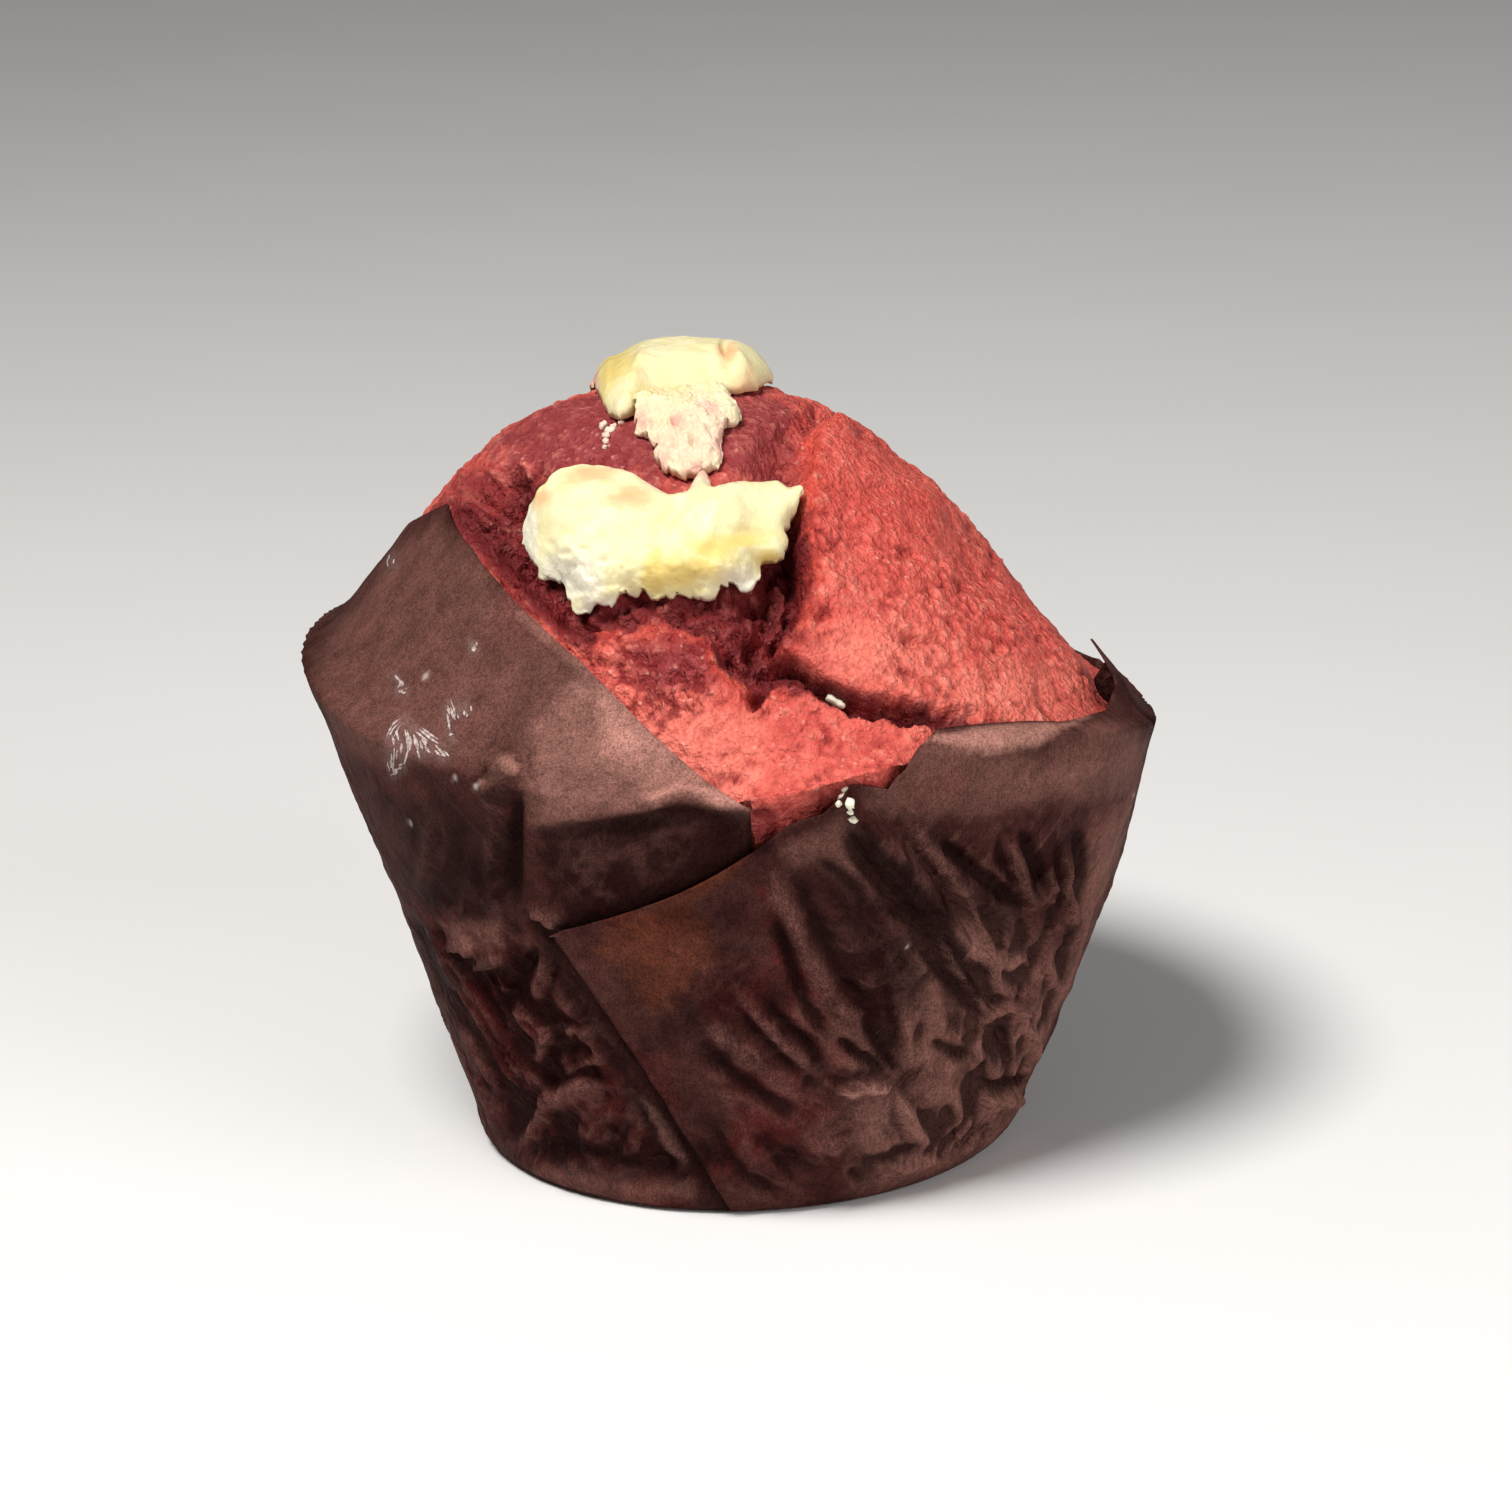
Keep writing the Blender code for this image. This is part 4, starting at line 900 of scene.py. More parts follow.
class Look:
    """A material, with short calls for the shader nodes that it is made of."""

    def __init__(self, name):
        self.material = bpy.data.materials.new(name)
        self.material.use_nodes = True
        self.tree = self.material.node_tree
        self.shader = self.tree.nodes["Principled BSDF"]
        self.place = self.node("TexCoord").outputs["Object"]

    def fill(self, item, inputs):
        """Each input of a node is given a value or joined to a socket."""
        for key, value in inputs.items():
            if isinstance(value, bpy.types.NodeSocket):
                self.tree.links.new(value, item.inputs[key])
            else:
                item.inputs[key].default_value = value

    def node(self, kind, inputs=None, **settings):
        item = self.tree.nodes.new("ShaderNode" + kind)
        for key, value in settings.items():
            setattr(item, key, value)
        self.fill(item, inputs or {})
        return item

    def maths(self, kind, first, *others):
        for value in others:
            first = self.node("Math", {0: first, 1: value}, operation=kind).outputs[0]
        return first

    def times(self, *values):
        return self.maths("MULTIPLY", *values)

    def plus(self, *values):
        return self.maths("ADD", *values)

    def remap(self, value, low, high, new_low=0.0, new_high=1.0):
        inputs = {"Value": value, "From Min": low, "From Max": high, "To Min": new_low,
                  "To Max": new_high}
        return self.node("MapRange", inputs).outputs[0]

    def named(self, name):
        """One of the values that the vertices of a piece carry."""
        return self.node("Attribute", attribute_name=name).outputs["Fac"]

    def blend(self, factor, first, second, kind="MIX"):
        inputs = {0: factor, 6: first, 7: second}
        return self.node("Mix", inputs, data_type="RGBA", blend_type=kind).outputs[2]

    def layered(self, colour, *layers):
        """Colours laid over a first one, each as strongly as its factor says."""
        for factor, over in layers:
            colour = self.blend(factor, colour, over)
        return colour

    def shaded(self, colour, grey):
        """A colour made darker or lighter by a factor round about 1."""
        tint = self.node("CombineColor", {0: grey, 1: grey, 2: grey}).outputs[0]
        return self.blend(1.0, colour, tint, "MULTIPLY")

    def speckle(self, size, detail=2.0, stretch=None):
        """Noise from 0 to 1 with a grain of a size in millimetres."""
        place = self.place
        if stretch:
            place = self.node("Mapping", {"Vector": place, "Scale": stretch}).outputs[0]
        inputs = {"Vector": place, "Scale": 1.0 / (size * MM), "Detail": detail}
        return self.node("TexNoise", inputs).outputs[0]

    def moved(self, kind, inputs):
        return self.node("VectorMath", inputs, operation=kind).outputs[0]

    def warped(self, size, amount):
        """Places pushed about by noise, so that a pattern laid on them is uneven."""
        inputs = {"Vector": self.place, "Scale": 1.0 / (size * MM), "Detail": 1.0}
        push = self.node("TexNoise", inputs).outputs["Color"]
        push = self.moved("SUBTRACT", {0: push, 1: (0.5, 0.5, 0.5)})
        push = self.moved("SCALE", {0: push, "Scale": amount * MM})
        return self.moved("ADD", {0: self.place, 1: push})

    def pebbles(self, place, size):
        """Distance to the nearest of scattered points: 0 at each, about 0.8 between them."""
        inputs = {"Vector": place, "Scale": 1.0 / (size * MM)}
        return self.node("TexVoronoi", inputs).outputs["Distance"]

    def pinches(self, slant):
        """Sharp small creases that run aslant: about 0 between them, 1.5 and more on them."""
        inputs = {"Vector": self.place, "Rotation": (0.0, math.radians(slant), 0.0)}
        turned = self.node("Mapping", inputs).outputs[0]
        drawn = self.node("Mapping", {"Vector": turned, "Scale": (1.0, 1.0, 0.4)}).outputs[0]
        inputs = {"Vector": drawn, "Scale": 1.0 / (PINCH_SIZE * MM), "Detail": 3.0,
                  "Roughness": 0.6, "Offset": 1.0, "Gain": 1.4}
        return self.node("TexNoise", inputs, noise_type="RIDGED_MULTIFRACTAL").outputs[0]

    def bumpy(self, height, distance, strength=1.0, normal=None):
        inputs = {"Height": height, "Distance": distance * MM, "Strength": strength}
        if normal:
            inputs["Normal"] = normal
        return self.node("Bump", inputs).outputs[0]

    def surface(self, inputs):
        self.fill(self.shader, inputs)
        return self.material


def crumb_colour(look, small, beads, grit, bubbly):
    mottle = look.speckle(1.6, 3.0)
    torn = look.named("torn")
    grain = look.named("grain")
    outside = look.remap(torn, 0.0, 1.0, 1.0, 0.35)
    # pale tops of the raised grain: painted highlight, weaker on torn crumb
    lit_crest = look.times(look.remap(grain, 0.5, 0.9), 0.65, outside,
                       look.remap(small, 0.35, 0.6, 0.3, 1.0))
    # gaps between the beads: painted shade
    bead_gap_shade = look.times(look.remap(beads, 0.50, 0.85, 0.0, 0.35),
                     look.remap(mottle, 0.45, 0.6, 0.15, 1.0),
                     look.remap(bubbly, 0.0, 1.0, 0.3, 1.0))
    # tops of the beads: painted highlight
    top = look.times(look.remap(beads, 0.28, 0.05), look.remap(small, 0.45, 0.6),
                     look.times(outside, 0.5))
    return look.layered(
        (0.63, 0.094, 0.074, 1),
        (look.remap(look.speckle(7.0, 3.0), 0.35, 0.65), (0.75, 0.140, 0.108, 1)),
        (look.remap(mottle, 0.35, 0.65, 0.0, 0.5), (0.52, 0.062, 0.050, 1)),
        # painted highlight on the lobes
        (look.times(look.named("lobe_highlight"), 0.5), (0.90, 0.255, 0.185, 1)),
        (look.named("mauve"), (0.29, 0.046, 0.049, 1)),
        (look.times(look.named("rim"), 0.8), (0.62, 0.070, 0.042, 1)),
        # torn crumb: its own deeper red, together with painted shade in the pit, the cavities and
        # the crevices
        (torn, (0.185, 0.020, 0.023, 1)),
        # painted highlight on raised grain, painted shade in its hollows, between beads and in
        # grit, then painted highlight on bead tops
        (lit_crest, (0.86, 0.29, 0.215, 1)),
        (look.times(look.remap(grain, 0.5, 0.05), 0.85), (0.20, 0.013, 0.014, 1)),
        (bead_gap_shade, (0.24, 0.018, 0.018, 1)),
        (look.remap(grit, 0.55, 0.9, 0.0, 0.35), (0.27, 0.021, 0.019, 1)),
        (top, (0.92, 0.44, 0.36, 1)),
        # near-black painted shade along the crevice lines and deepest pockets
        (look.times(look.named("crevice_shade"), 0.65), (0.100, 0.0065, 0.0082, 1)))


def cake_look():
    look = Look("red_velvet_crumb_look")
    small = look.speckle(0.8, 3.0)
    fine = look.speckle(0.25, 2.0)
    shifted = look.warped(1.6, 0.5)
    beads = look.pebbles(shifted, 1.0)
    grit = look.pebbles(shifted, 0.5)
    bubbly = look.named("bubbly")
    relief = look.plus(look.times(grit, -0.32), look.times(fine, 0.40), look.times(small, 0.60))
    beaded = look.times(beads, look.remap(bubbly, 0.0, 1.0, 0.20, 0.55))
    return look.surface({
        "Base Color": crumb_colour(look, small, beads, grit, bubbly),
        "Roughness": look.remap(small, 0.3, 0.7, 0.42, 0.66),
        "Specular IOR Level": 0.18,
        "Subsurface Weight": 0.08,
        "Subsurface Radius": (1.0, 0.25, 0.18),
        "Subsurface Scale": 0.6 * MM,
        "Normal": look.bumpy(look.maths("SUBTRACT", relief, beaded), 0.6)})


def paper_colour(look, mottle, fibre, pinched, wrinkled):
    specks = look.remap(look.plus(mottle, fibre), 0.75, 1.25, 0.5, 1.0)
    colour = look.layered(
        (0.030, 0.0084, 0.0074, 1),
        (look.remap(look.speckle(9.0, 4.0), 0.35, 0.65), (0.050, 0.0158, 0.0136, 1)),
        (look.named("red_stain"), (0.066, 0.0088, 0.0088, 1)),
        (look.times(look.named("brown_stain"), look.remap(mottle, 0.2, 0.5, 0.6, 1.0)),
         (0.084, 0.0215, 0.0115, 1)),
        # soaked paper with painted shade, painted sheen on raised creases, then drier paper with
        # painted sheen
        (look.named("damp_and_shade"), (0.0135, 0.0038, 0.0036, 1)),
        (look.times(look.named("ridge_sheen"), look.times(specks, 0.55)), WORN_AND_SHEEN_PAPER),
        (look.named("dry_and_sheen"), (0.345, 0.163, 0.132, 1)))
    smudge = look.remap(look.speckle(3.5, 4.0), 0.32, 0.68, 0.80, 1.22)
    colour = look.layered(
        look.shaded(colour, smudge),
        # painted sheen on the small pinched creases, then near-black painted shade in hollows and
        # seams
        (look.times(look.remap(pinched, 1.1, 1.7), wrinkled, 0.34), WORN_AND_SHEEN_PAPER),
        (look.times(look.named("painted_shade"), 0.88), (0.010, 0.0034, 0.0032, 1)))
    long_fibre = look.speckle(0.3, 2.0, (1.0, 1.0, 0.35))
    grain = look.plus(fibre, look.times(mottle, 0.35), look.times(long_fibre, 0.5))
    strands = look.speckle(0.35, 3.0, (1.0, 1.0, 0.3))
    flour = look.times(look.named("flour"), look.remap(strands, 0.36, 0.72, 0.3, 0.9))
    return look.layered(look.shaded(colour, look.remap(grain, 0.72, 1.13, 0.64, 1.42)),
                        (flour, (0.75, 0.62, 0.58, 1)))


def paper_look():
    look = Look("brown_paper_look")
    mottle = look.speckle(0.9, 4.0)
    fibre = look.speckle(0.2, 2.0)
    wrinkled = look.remap(look.named("wrinkled"), 0.0, 1.0, 0.25, 1.0)
    mask = look.remap(look.speckle(14.0, 1.0), 0.42, 0.58)
    pinched = look.plus(look.times(look.pinches(48.0), mask),
                        look.times(look.pinches(-38.0), look.maths("SUBTRACT", 1.0, mask)))
    normal = look.bumpy(fibre, 0.10, 0.6)
    normal = look.bumpy(mottle, 0.16, 0.6, normal)
    normal = look.bumpy(look.times(pinched, wrinkled), 0.45, 1.0, normal)
    return look.surface({
        "Base Color": paper_colour(look, mottle, fibre, pinched, wrinkled),
        "Roughness": look.remap(mottle, 0.3, 0.7, 0.45, 0.62),
        "Specular IOR Level": 0.01,
        "Normal": normal})


def cream_look():
    look = Look("cream_cheese_look")
    broad = look.speckle(3.0, 2.0)
    small = look.speckle(1.1, 3.0)
    fine = look.speckle(0.4, 3.0)
    white = look.named("white")
    blush = look.named("blush")
    colour = look.layered(
        (0.78, 0.70, 0.38, 1),
        (look.remap(broad, 0.35, 0.65), (0.82, 0.76, 0.47, 1)),
        # deeper yellow: the cream's own yellowing, and painted shade under its folds and lobes
        (look.named("yellow_and_shade"), (0.74, 0.58, 0.19, 1)),
        (white, (0.80, 0.755, 0.60, 1)),
        (look.times(blush, 0.85), (0.74, 0.57, 0.43, 1)),
        (look.times(look.named("toast"), 0.8), (0.78, 0.41, 0.20, 1)),
        (look.times(look.named("pink"), 0.8), (0.72, 0.40, 0.33, 1)))
    crumbly = look.maths("MAXIMUM", blush, look.times(white, 0.5))
    lumps = look.times(small, look.remap(crumbly, 0.0, 1.0, 0.3, 1.0))
    return look.surface({
        "Base Color": colour,
        "Roughness": look.remap(fine, 0.3, 0.7, 0.34, 0.5),
        "Specular IOR Level": 0.20,
        "Subsurface Weight": 0.18,
        "Subsurface Radius": (1.0, 0.8, 0.4),
        "Subsurface Scale": 1.5 * MM,
        "Normal": look.bumpy(fine, 0.12, 0.6, look.bumpy(lumps, 0.45, 0.8))})


# ---- cake ---------------------------------------------------------------------------------

def edge_share(angle):
    """Height of the paper's free edge round the case."""
    return read_off(PAPER_EDGE, (np.asarray(angle, float) + 88.0) % 360.0 - 448.0)


def cake_start(angles):
    """Share at which the finely meshed top of the cake starts, a little inside the paper."""
    reach = np.linspace(-8.0, 8.0, 9)
    low = [np.min([edge_share(angles + far + near) for near in reach], axis=0) for far in reach]
    return np.mean(low, axis=0) - 0.10


def pit_relief(x, y):
    """The torn pit: its drop, the lip beside it, how near its rim, and 1 on its inner side."""
    away, side, (depth, width) = line_profile(PIT_WALL, (PIT_DEPTH, PIT_WIDTH), x, y)
    inside = side < 0.0
    drop = np.where(inside, step_down(away, depth, width, 0.9), 0.0)
    lip = LIP_HEIGHT * (1.0 - ease(away / LIP_WIDTH)) * ease(depth / 2.0)
    rim = np.exp(-(away / np.where(inside, 0.5, 1.1)) ** 2) * ease(depth / 2.5)
    return drop, np.where(inside, 0.0, lip), rim, np.where(inside, ease(away / 0.8), 0.0)


def lobe_relief(x, y):
    """The torn front edge of the left-hand lobe: its drop, and how near its rim."""
    away, side, (depth, width) = line_profile(LOBE_EDGE, (LOBE_DEPTH, LOBE_WIDTH), x, y)
    drop = np.where(side > 0.0, step_down(away, depth, width, 0.8), 0.0)
    return drop, np.where(side < 0.0, np.exp(-away ** 2), 0.0) * ease(depth / 2.5)


def crack_relief(px, py, front):
    """The crack under the right-hand lobe: its drop, and the lip above it."""
    away, side, (depth,) = line_profile(CRACK, (CRACK_DEPTH,), px, py)
    slope = np.where(side > 0.0, CRACK_BELOW, CRACK_ABOVE)
    over = np.where(side < 0.0, ease(depth / 3.0), 0.0) * front
    swell = ease(away / 18.0) * (1.0 - ease((away - 18.0) / 50.0))
    return -depth * front * (1.0 - ease(away / slope)), CRACK_LIP * over * swell


def torn_parts(points, px, py, front, drop, back):
    """How torn the crumb is, with the painted shade of its crevices counted in, and that painted
    crevice shade on its own.
    """
    ragged = 8.0 * rough(points, 1.8, 35)
    crevice_shade = np.zeros(np.shape(px))
    for width, line in CREVICE_SHADE_LINES:
        away = line_distance(line, px, py) + 0.5 * ragged
        crevice_shade = np.maximum(crevice_shade, front * (1.0 - ease(away / width - 0.35)))
    torn = (ease((drop - 1.0) / 2.4), crevice_shade, ease(back / BACK_CRACK_DEPTH - 0.3) * 0.7,
            front * patch(px, py, TORN_AND_SHADED_PATCHES, 0.25 * rough(points, 2.4, 31)) * 0.85,
            front * painted(px, py, OPEN_AND_SHADED_CRUMB, ragged))
    return np.max(torn, axis=0), crevice_shade


def crown_relief(points, px, py, front):
    """Height above the smooth crown, and how torn, how near a rim and how mauve it is, and the
    painted shade along its crevices.
    """
    x = points[..., 0] + 0.75 * rough(points, 3.2, 11)
    y = points[..., 1] + 0.75 * rough(points, 3.2, 21)
    pit, pit_lip, pit_rim, in_pit = pit_relief(x, y)
    lobe, lobe_rim = lobe_relief(x, y)
    shaky = 5.0 * rough(points, 1.6, 15)
    crack, crack_lip = crack_relief(px + shaky, py - shaky, front)
    spread = np.hypot(x - HOLLOW_CENTRE[0], y - HOLLOW_CENTRE[1]) / HOLLOW_RADIUS
    hollow = HOLLOW_DEPTH * (1.0 - ease(spread))
    back = BACK_CRACK_DEPTH * (1.0 - ease(line_distance(BACK_CRACK, x, y) / BACK_CRACK_WIDTH))
    lumps = np.sin(points[..., 0] / LUMP_SIZE + 1.0) * np.sin(points[..., 1] / LUMP_SIZE + 0.6)
    drop = np.minimum(np.minimum(pit, lobe), crack)
    torn, crevice_shade = torn_parts(points, px, py, front, -drop, back)
    height = drop + pit_lip + crack_lip - hollow - back + LUMP_HEIGHT * lumps - 0.5 * crevice_shade
    mauve = front * patch(px, py, MAUVE_PATCHES, 0.25 * rough(points, 2.4, 31)) * in_pit
    return height, torn, np.maximum(pit_rim, lobe_rim), mauve, crevice_shade


def crumb(points, px, py, torn, front):
    """Relief of the crust and the torn crumb, its grain (0 hollow, 1 raised), where it beads."""
    shift = np.stack([noise(points, 2.2, seed) for seed in (43, 44, 45)], -1)
    bent = points + CRUMB_BEND * shift
    bubbly = 1.0 - front * painted(px, py, SMOOTH_CRUST, 20.0 * rough(points, 5.0, 47))
    bubbly = bubbly * ease(0.9 + 1.6 * rough(points, 4.0, 48))
    beads = sum(part * (BEAD_LEVEL - cells(bent, size, seed)[0]) for part, size, seed in BEADS)
    grain = beads * (0.3 + 0.7 * bubbly)
    fine = noise(points, 0.45, 61)
    gate = ease(2.0 * rough(points, 2.6, 57) + 0.1) * (0.25 + 0.75 * bubbly)
    crevice = cell_walls(bent, CREVICE_SIZE, 55, 0.10) * gate
    waves = CRUST_WAVES * rough(points, 5.0, 71)
    crust = CRUST_GRAIN * grain + CRUST_FINE * fine + waves - CREVICE_DEPTH * crevice
    holes = np.maximum(noise(points, 1.1, 93) - 0.15, 0.0)
    furrows = OPEN_FURROWS * np.abs(rough(points, 2.6, 91))
    ragged = OPEN_WAVES * rough(points, 1.7, 81, 4) - furrows
    open_crumb = ragged + OPEN_GRAIN * grain - OPEN_HOLES * holes
    flat = points * np.array(CRACKLE_STRETCH) + 0.5 * noise(points, 2.0, 95)[..., None]
    zone = front * patch(px, py, (CRACKLE_PATCH,), 0.2 * noise(points, 3.0, 97))
    split = cell_walls(flat, CRACKLE_SIZE, 101, 0.13) * zone
    shown = front * (dents(px, py, CRUST_LUMPS) - dents(px, py, CRUST_PORES))
    height = crust * (1.0 - torn) + open_crumb * torn - CRACKLE_DEPTH * split + shown
    level = 0.5 + 1.2 * grain + 0.14 * fine - 0.6 * split - 0.35 * crevice
    return height, np.clip(level, 0.0, 1.0), bubbly


def cake_offset(share, angle, relief, height):
    """How far the cake lies above the body's surface: its relief, or a gap under the paper."""
    above_edge = share - edge_share(angle)
    bare = ease((above_edge + 0.01) / 0.06)
    sunk = CAKE_UNDER_PAPER * ease((-above_edge - 0.03) / 0.08)
    under = 0.5 + sunk + 0.5 * np.exp(-((share - 1.0) / 0.045) ** 2)
    shown = relief * ease((share - 1.0) / 0.06) + height * ease((share - 0.9) / 0.1)
    return shown * bare - under * (1.0 - bare)


def build_cake(look):
    angles = spaced(CAKE_SPANS)
    start = cake_start(angles)[None, :]
    climb = np.linspace(0.0, 1.0, CAKE_ROWS)[:, None]
    hidden = start * np.array(HIDDEN_PARTS)[:, None]
    foot = np.full(start.shape, CAKE_FOOT_SHARE)
    share = np.concatenate([foot, hidden, start + (CAKE_TOP_SHARE - start) * climb])
    angle = np.broadcast_to(angles[None, :], share.shape)
    points = body_point(angle, share)
    normals = body_normal(angle, share)
    px, py = seen_at(points)
    front = facing(points, normals)
    relief, torn, rim, mauve, crevice_shade = crown_relief(points, px, py, front)
    height, grain, bubbly = crumb(points, px, py, torn, front)
    points = points + normals * cake_offset(share, angle, relief, height)[..., None]
    # painted highlight on the lobes
    lobe_highlight = front * soft_patch(px, py, LOBE_HIGHLIGHT_PATCHES, 0.3 * rough(points, 4.0, 37))
    rows, columns = share.shape
    ends = np.array([[0.0, 0.0, CAKE_BOTTOM], points[-1].mean(axis=0)])
    every = np.concatenate([points.reshape(-1, 3), ends])
    bottom = rows * columns
    ring = np.arange(columns)
    faces = [grid_faces(rows, columns, True), fan_faces(ring, bottom, True),
             fan_faces(ring + (rows - 1) * columns, bottom + 1)]
    values = {"torn": torn, "rim": rim, "mauve": mauve, "grain": grain, "crevice_shade": crevice_shade,
              "bubbly": bubbly, "lobe_highlight": lobe_highlight}
    values = {key: np.append(value.ravel(), [0.5, 0.5]) for key, value in values.items()}
    return add_piece("cake_crumb", every, faces, look, values, "cake")


# ---- paper --------------------------------------------------------------------------------

def strip_angle(strip):
    return np.where(strip < -180.0, strip + 360.0, strip)


def on_pleat(strip):
    """True right of the pleat's folded edge, as far as the back."""
    return strip < -360.0


def lean_angle(strip, share):
    """The folds slant: the outer layer moves round the case with the height."""
    column = strip_angle(strip)
    flap = FLAP_LEFT_FOOT_SHIFT * np.clip(1.0 - share / FLAP_CORNER_SHARE, 0.0, 1.0)
    run = FOLD_TOP_SHARE - FOLD_FOOT_SHARE
    fold = FOLD_SHIFT * np.clip((FOLD_TOP_SHARE - share) / run, 0.0, 1.0)
    near_flap = read_off(((FLAP_LEFT_TOP, 1.0), (FOLD_TOP, 0.0)), column)
    near_fold = read_off(((FLAP_LEFT_TOP, 0.0), (FOLD_TOP, 1.0), (-15.0, 0.0)), column)
    moved = flap * near_flap + fold * near_fold
    return column + np.where(on_pleat(strip), moved, 0.0)


def pleat_border(strip, share):
    """How far right of the pleat's folded edge a place lies, and how far below its brim."""
    foot = np.clip(1.0 - share / FLAP_CORNER_SHARE, 0.0, 1.0)
    edge = FLAP_LEFT_TOP + FLAP_LEFT_FOOT_SHIFT * foot
    brim = ((FLAP_LEFT_TOP, FLAP_CORNER_SHARE), (FLAP_RIGHT, FLAP_RIGHT_SHARE))
    return strip - edge, read_off(brim, strip) - share


def under_pleat(strip, share):
    """1 where the sheet is hidden beneath the pleat, easing to 0 outside the pleat's edge."""
    right, below = pleat_border(strip, share)
    inside = ease((right - 1.5) / 4.0) * ease((below - 0.015) / 0.05)
    return np.where(on_pleat(strip), 0.0, inside)


def shaded_seams(strip, share):
    """1 on the sheet right beside the pleat's edges, where little light comes in."""
    right, below = pleat_border(strip, share)
    beside = ease((right + 9.0) / 9.0) * ease((FLAP_CORNER_SHARE + 0.02 - share) / 0.02)
    above = ease((below + 0.055) / 0.055) * ease((0.06 - below) / 0.03)
    above = above * ease((strip - FLAP_LEFT_TOP + 1.0) / 2.0)
    return np.where(on_pleat(strip), 0.0, np.maximum(beside, above))


def pleat_lift(strip, share):
    """How far the folded layers stand out from the plain case, or lie sunk beneath it."""
    column = strip_angle(strip)
    open_out = read_off(OPEN_LAYERS, column)
    sharp = ease((share - FOLD_FOOT_SHARE + 0.12) / 0.14)
    outer = open_out + (read_off(FOLDED_LAYERS, column) - open_out) * sharp
    outer = outer * (0.15 + 0.85 * ease(share / 0.14))
    return np.where(on_pleat(strip), outer, -UNDER_PLEAT_DEPTH * under_pleat(strip, share))


def corner_lift(angle, share):
    """The right-hand corner of the sheet stands away from the cake."""
    spread = np.exp(-((angle - CORNER_ANGLE) / CORNER_WIDTH) ** 2)
    return CORNER_STANDOFF * spread * ease((share - 1.0) / 0.07)


class Sheet:
    """The paper before it is creased: columns along the strip, rows from the foot to its edge."""

    def __init__(self):
        strip = np.append(spaced(STRIP_SPANS), STRIP_SPANS[-1][1])[None, :]
        climb = np.linspace(STRIP_START, 1.0, STRIP_ROWS)[:, None]
        self.edge = read_off(PAPER_EDGE, strip)
        upper = (climb - KNEE_CLIMB) / (1.0 - KNEE_CLIMB)
        upper = KNEE_SHARE + (self.edge - KNEE_SHARE) * upper
        lower = np.where(climb < 0.0, climb, climb * KNEE_SHARE / KNEE_CLIMB)
        self.share = np.where(climb < KNEE_CLIMB, lower, upper)
        self.strip = np.broadcast_to(strip, self.share.shape)
        self.angle = lean_angle(self.strip, self.share)
        self.points = body_point(self.angle, self.share)
        self.normals = body_normal(self.angle, self.share)
        self.px, self.py = seen_at(self.points)
        self.front = facing(self.points, self.normals)
        self.hidden = under_pleat(self.strip, self.share)

    def shown_or_back(self, shown, back):
        """One value where the camera sees the paper, another where it doesn't."""
        return self.front * shown + (1.0 - self.front) * back

    def painted(self, areas, wobble):
        return painted(self.px, self.py, areas, wobble)


def unrolled(angle, share):
    """Place on the wall laid flat, in millimetres."""
    return np.radians(angle) * (WALL_RADIUS + WALL_FLARE * share), share * WALL_HEIGHT


def round_back(angle, share):
    """Creases of the side and the back, which aren't seen: heights, and masks for painted
    highlight on their crests and painted shade in their hollows and beside steep sides.
    """
    total = np.zeros(np.shape(angle))
    lit_crest = np.zeros(np.shape(angle))
    hollow = np.zeros(np.shape(angle))
    for (height, left, right, *ends), turn in itertools.product(BACK_FOLDS, (0.0, -360.0)):
        ends = [unrolled(*end) for end in ends]
        wide, high = unrolled(angle - turn, share)
        away, side, there = beside_line(ends, wide, high)
        there = np.where(np.abs(wide - ends[0][0]) < BACK_FOLD_REACH, there, 0.0)
        width = np.where(side > 0.0, right, left)
        total += height * there * np.clip(1.0 - away / width, 0.0, 1.0)
        line = there * np.exp(-(away / BACK_CREST_WIDTH) ** 2)
        if height > 0.0:
            steep = there * (width < BACK_STEEP_WIDTH) * ease(1.0 - away / BACK_STEEP_WIDTH)
            lit_crest = np.maximum(lit_crest, line)
            hollow = np.maximum(hollow, 0.7 * steep - line)
        else:
            hollow = np.maximum(hollow, 0.8 * line)
    return total, lit_crest, hollow


def scattered_creases(strip, share):
    """Short random creases all round the walls, as heights."""
    chance = np.random.default_rng(CREASE_SEED)
    wide = np.radians(strip) * EVEN_WALL_RADIUS
    high = share * WALL_HEIGHT
    total = np.zeros(np.shape(strip))
    for _ in range(CREASE_COUNT):
        x = math.radians(chance.uniform(-478.0, -90.0)) * EVEN_WALL_RADIUS
        y = 44.0 * chance.uniform(0.03, 0.98) ** 1.2
        slant = chance.normal(0.0, 0.7)
        length = chance.uniform(*CREASE_LENGTHS)
        bend = chance.uniform(-0.3, 0.3) * length
        across = math.sin(slant)
        up = math.cos(slant)
        line = ((x - length * across, y - length * up), (x + bend * up, y - bend * across),
                (x + length * across, y + length * up))
        near = (np.abs(wide - x) < 16.0) & (np.abs(high - y) < 14.0)
        if not near.any():
            continue
        away, side, _ = line_profile(line, (), wide[near], high[near])
        left, right = chance.uniform(*CREASE_WIDTHS, 2)
        tent = np.clip(1.0 - away / np.where(side > 0.0, right, left), 0.0, 1.0)
        total[near] += chance.choice((-1.0, 1.0)) * chance.uniform(*CREASE_HEIGHTS) * tent
    return total


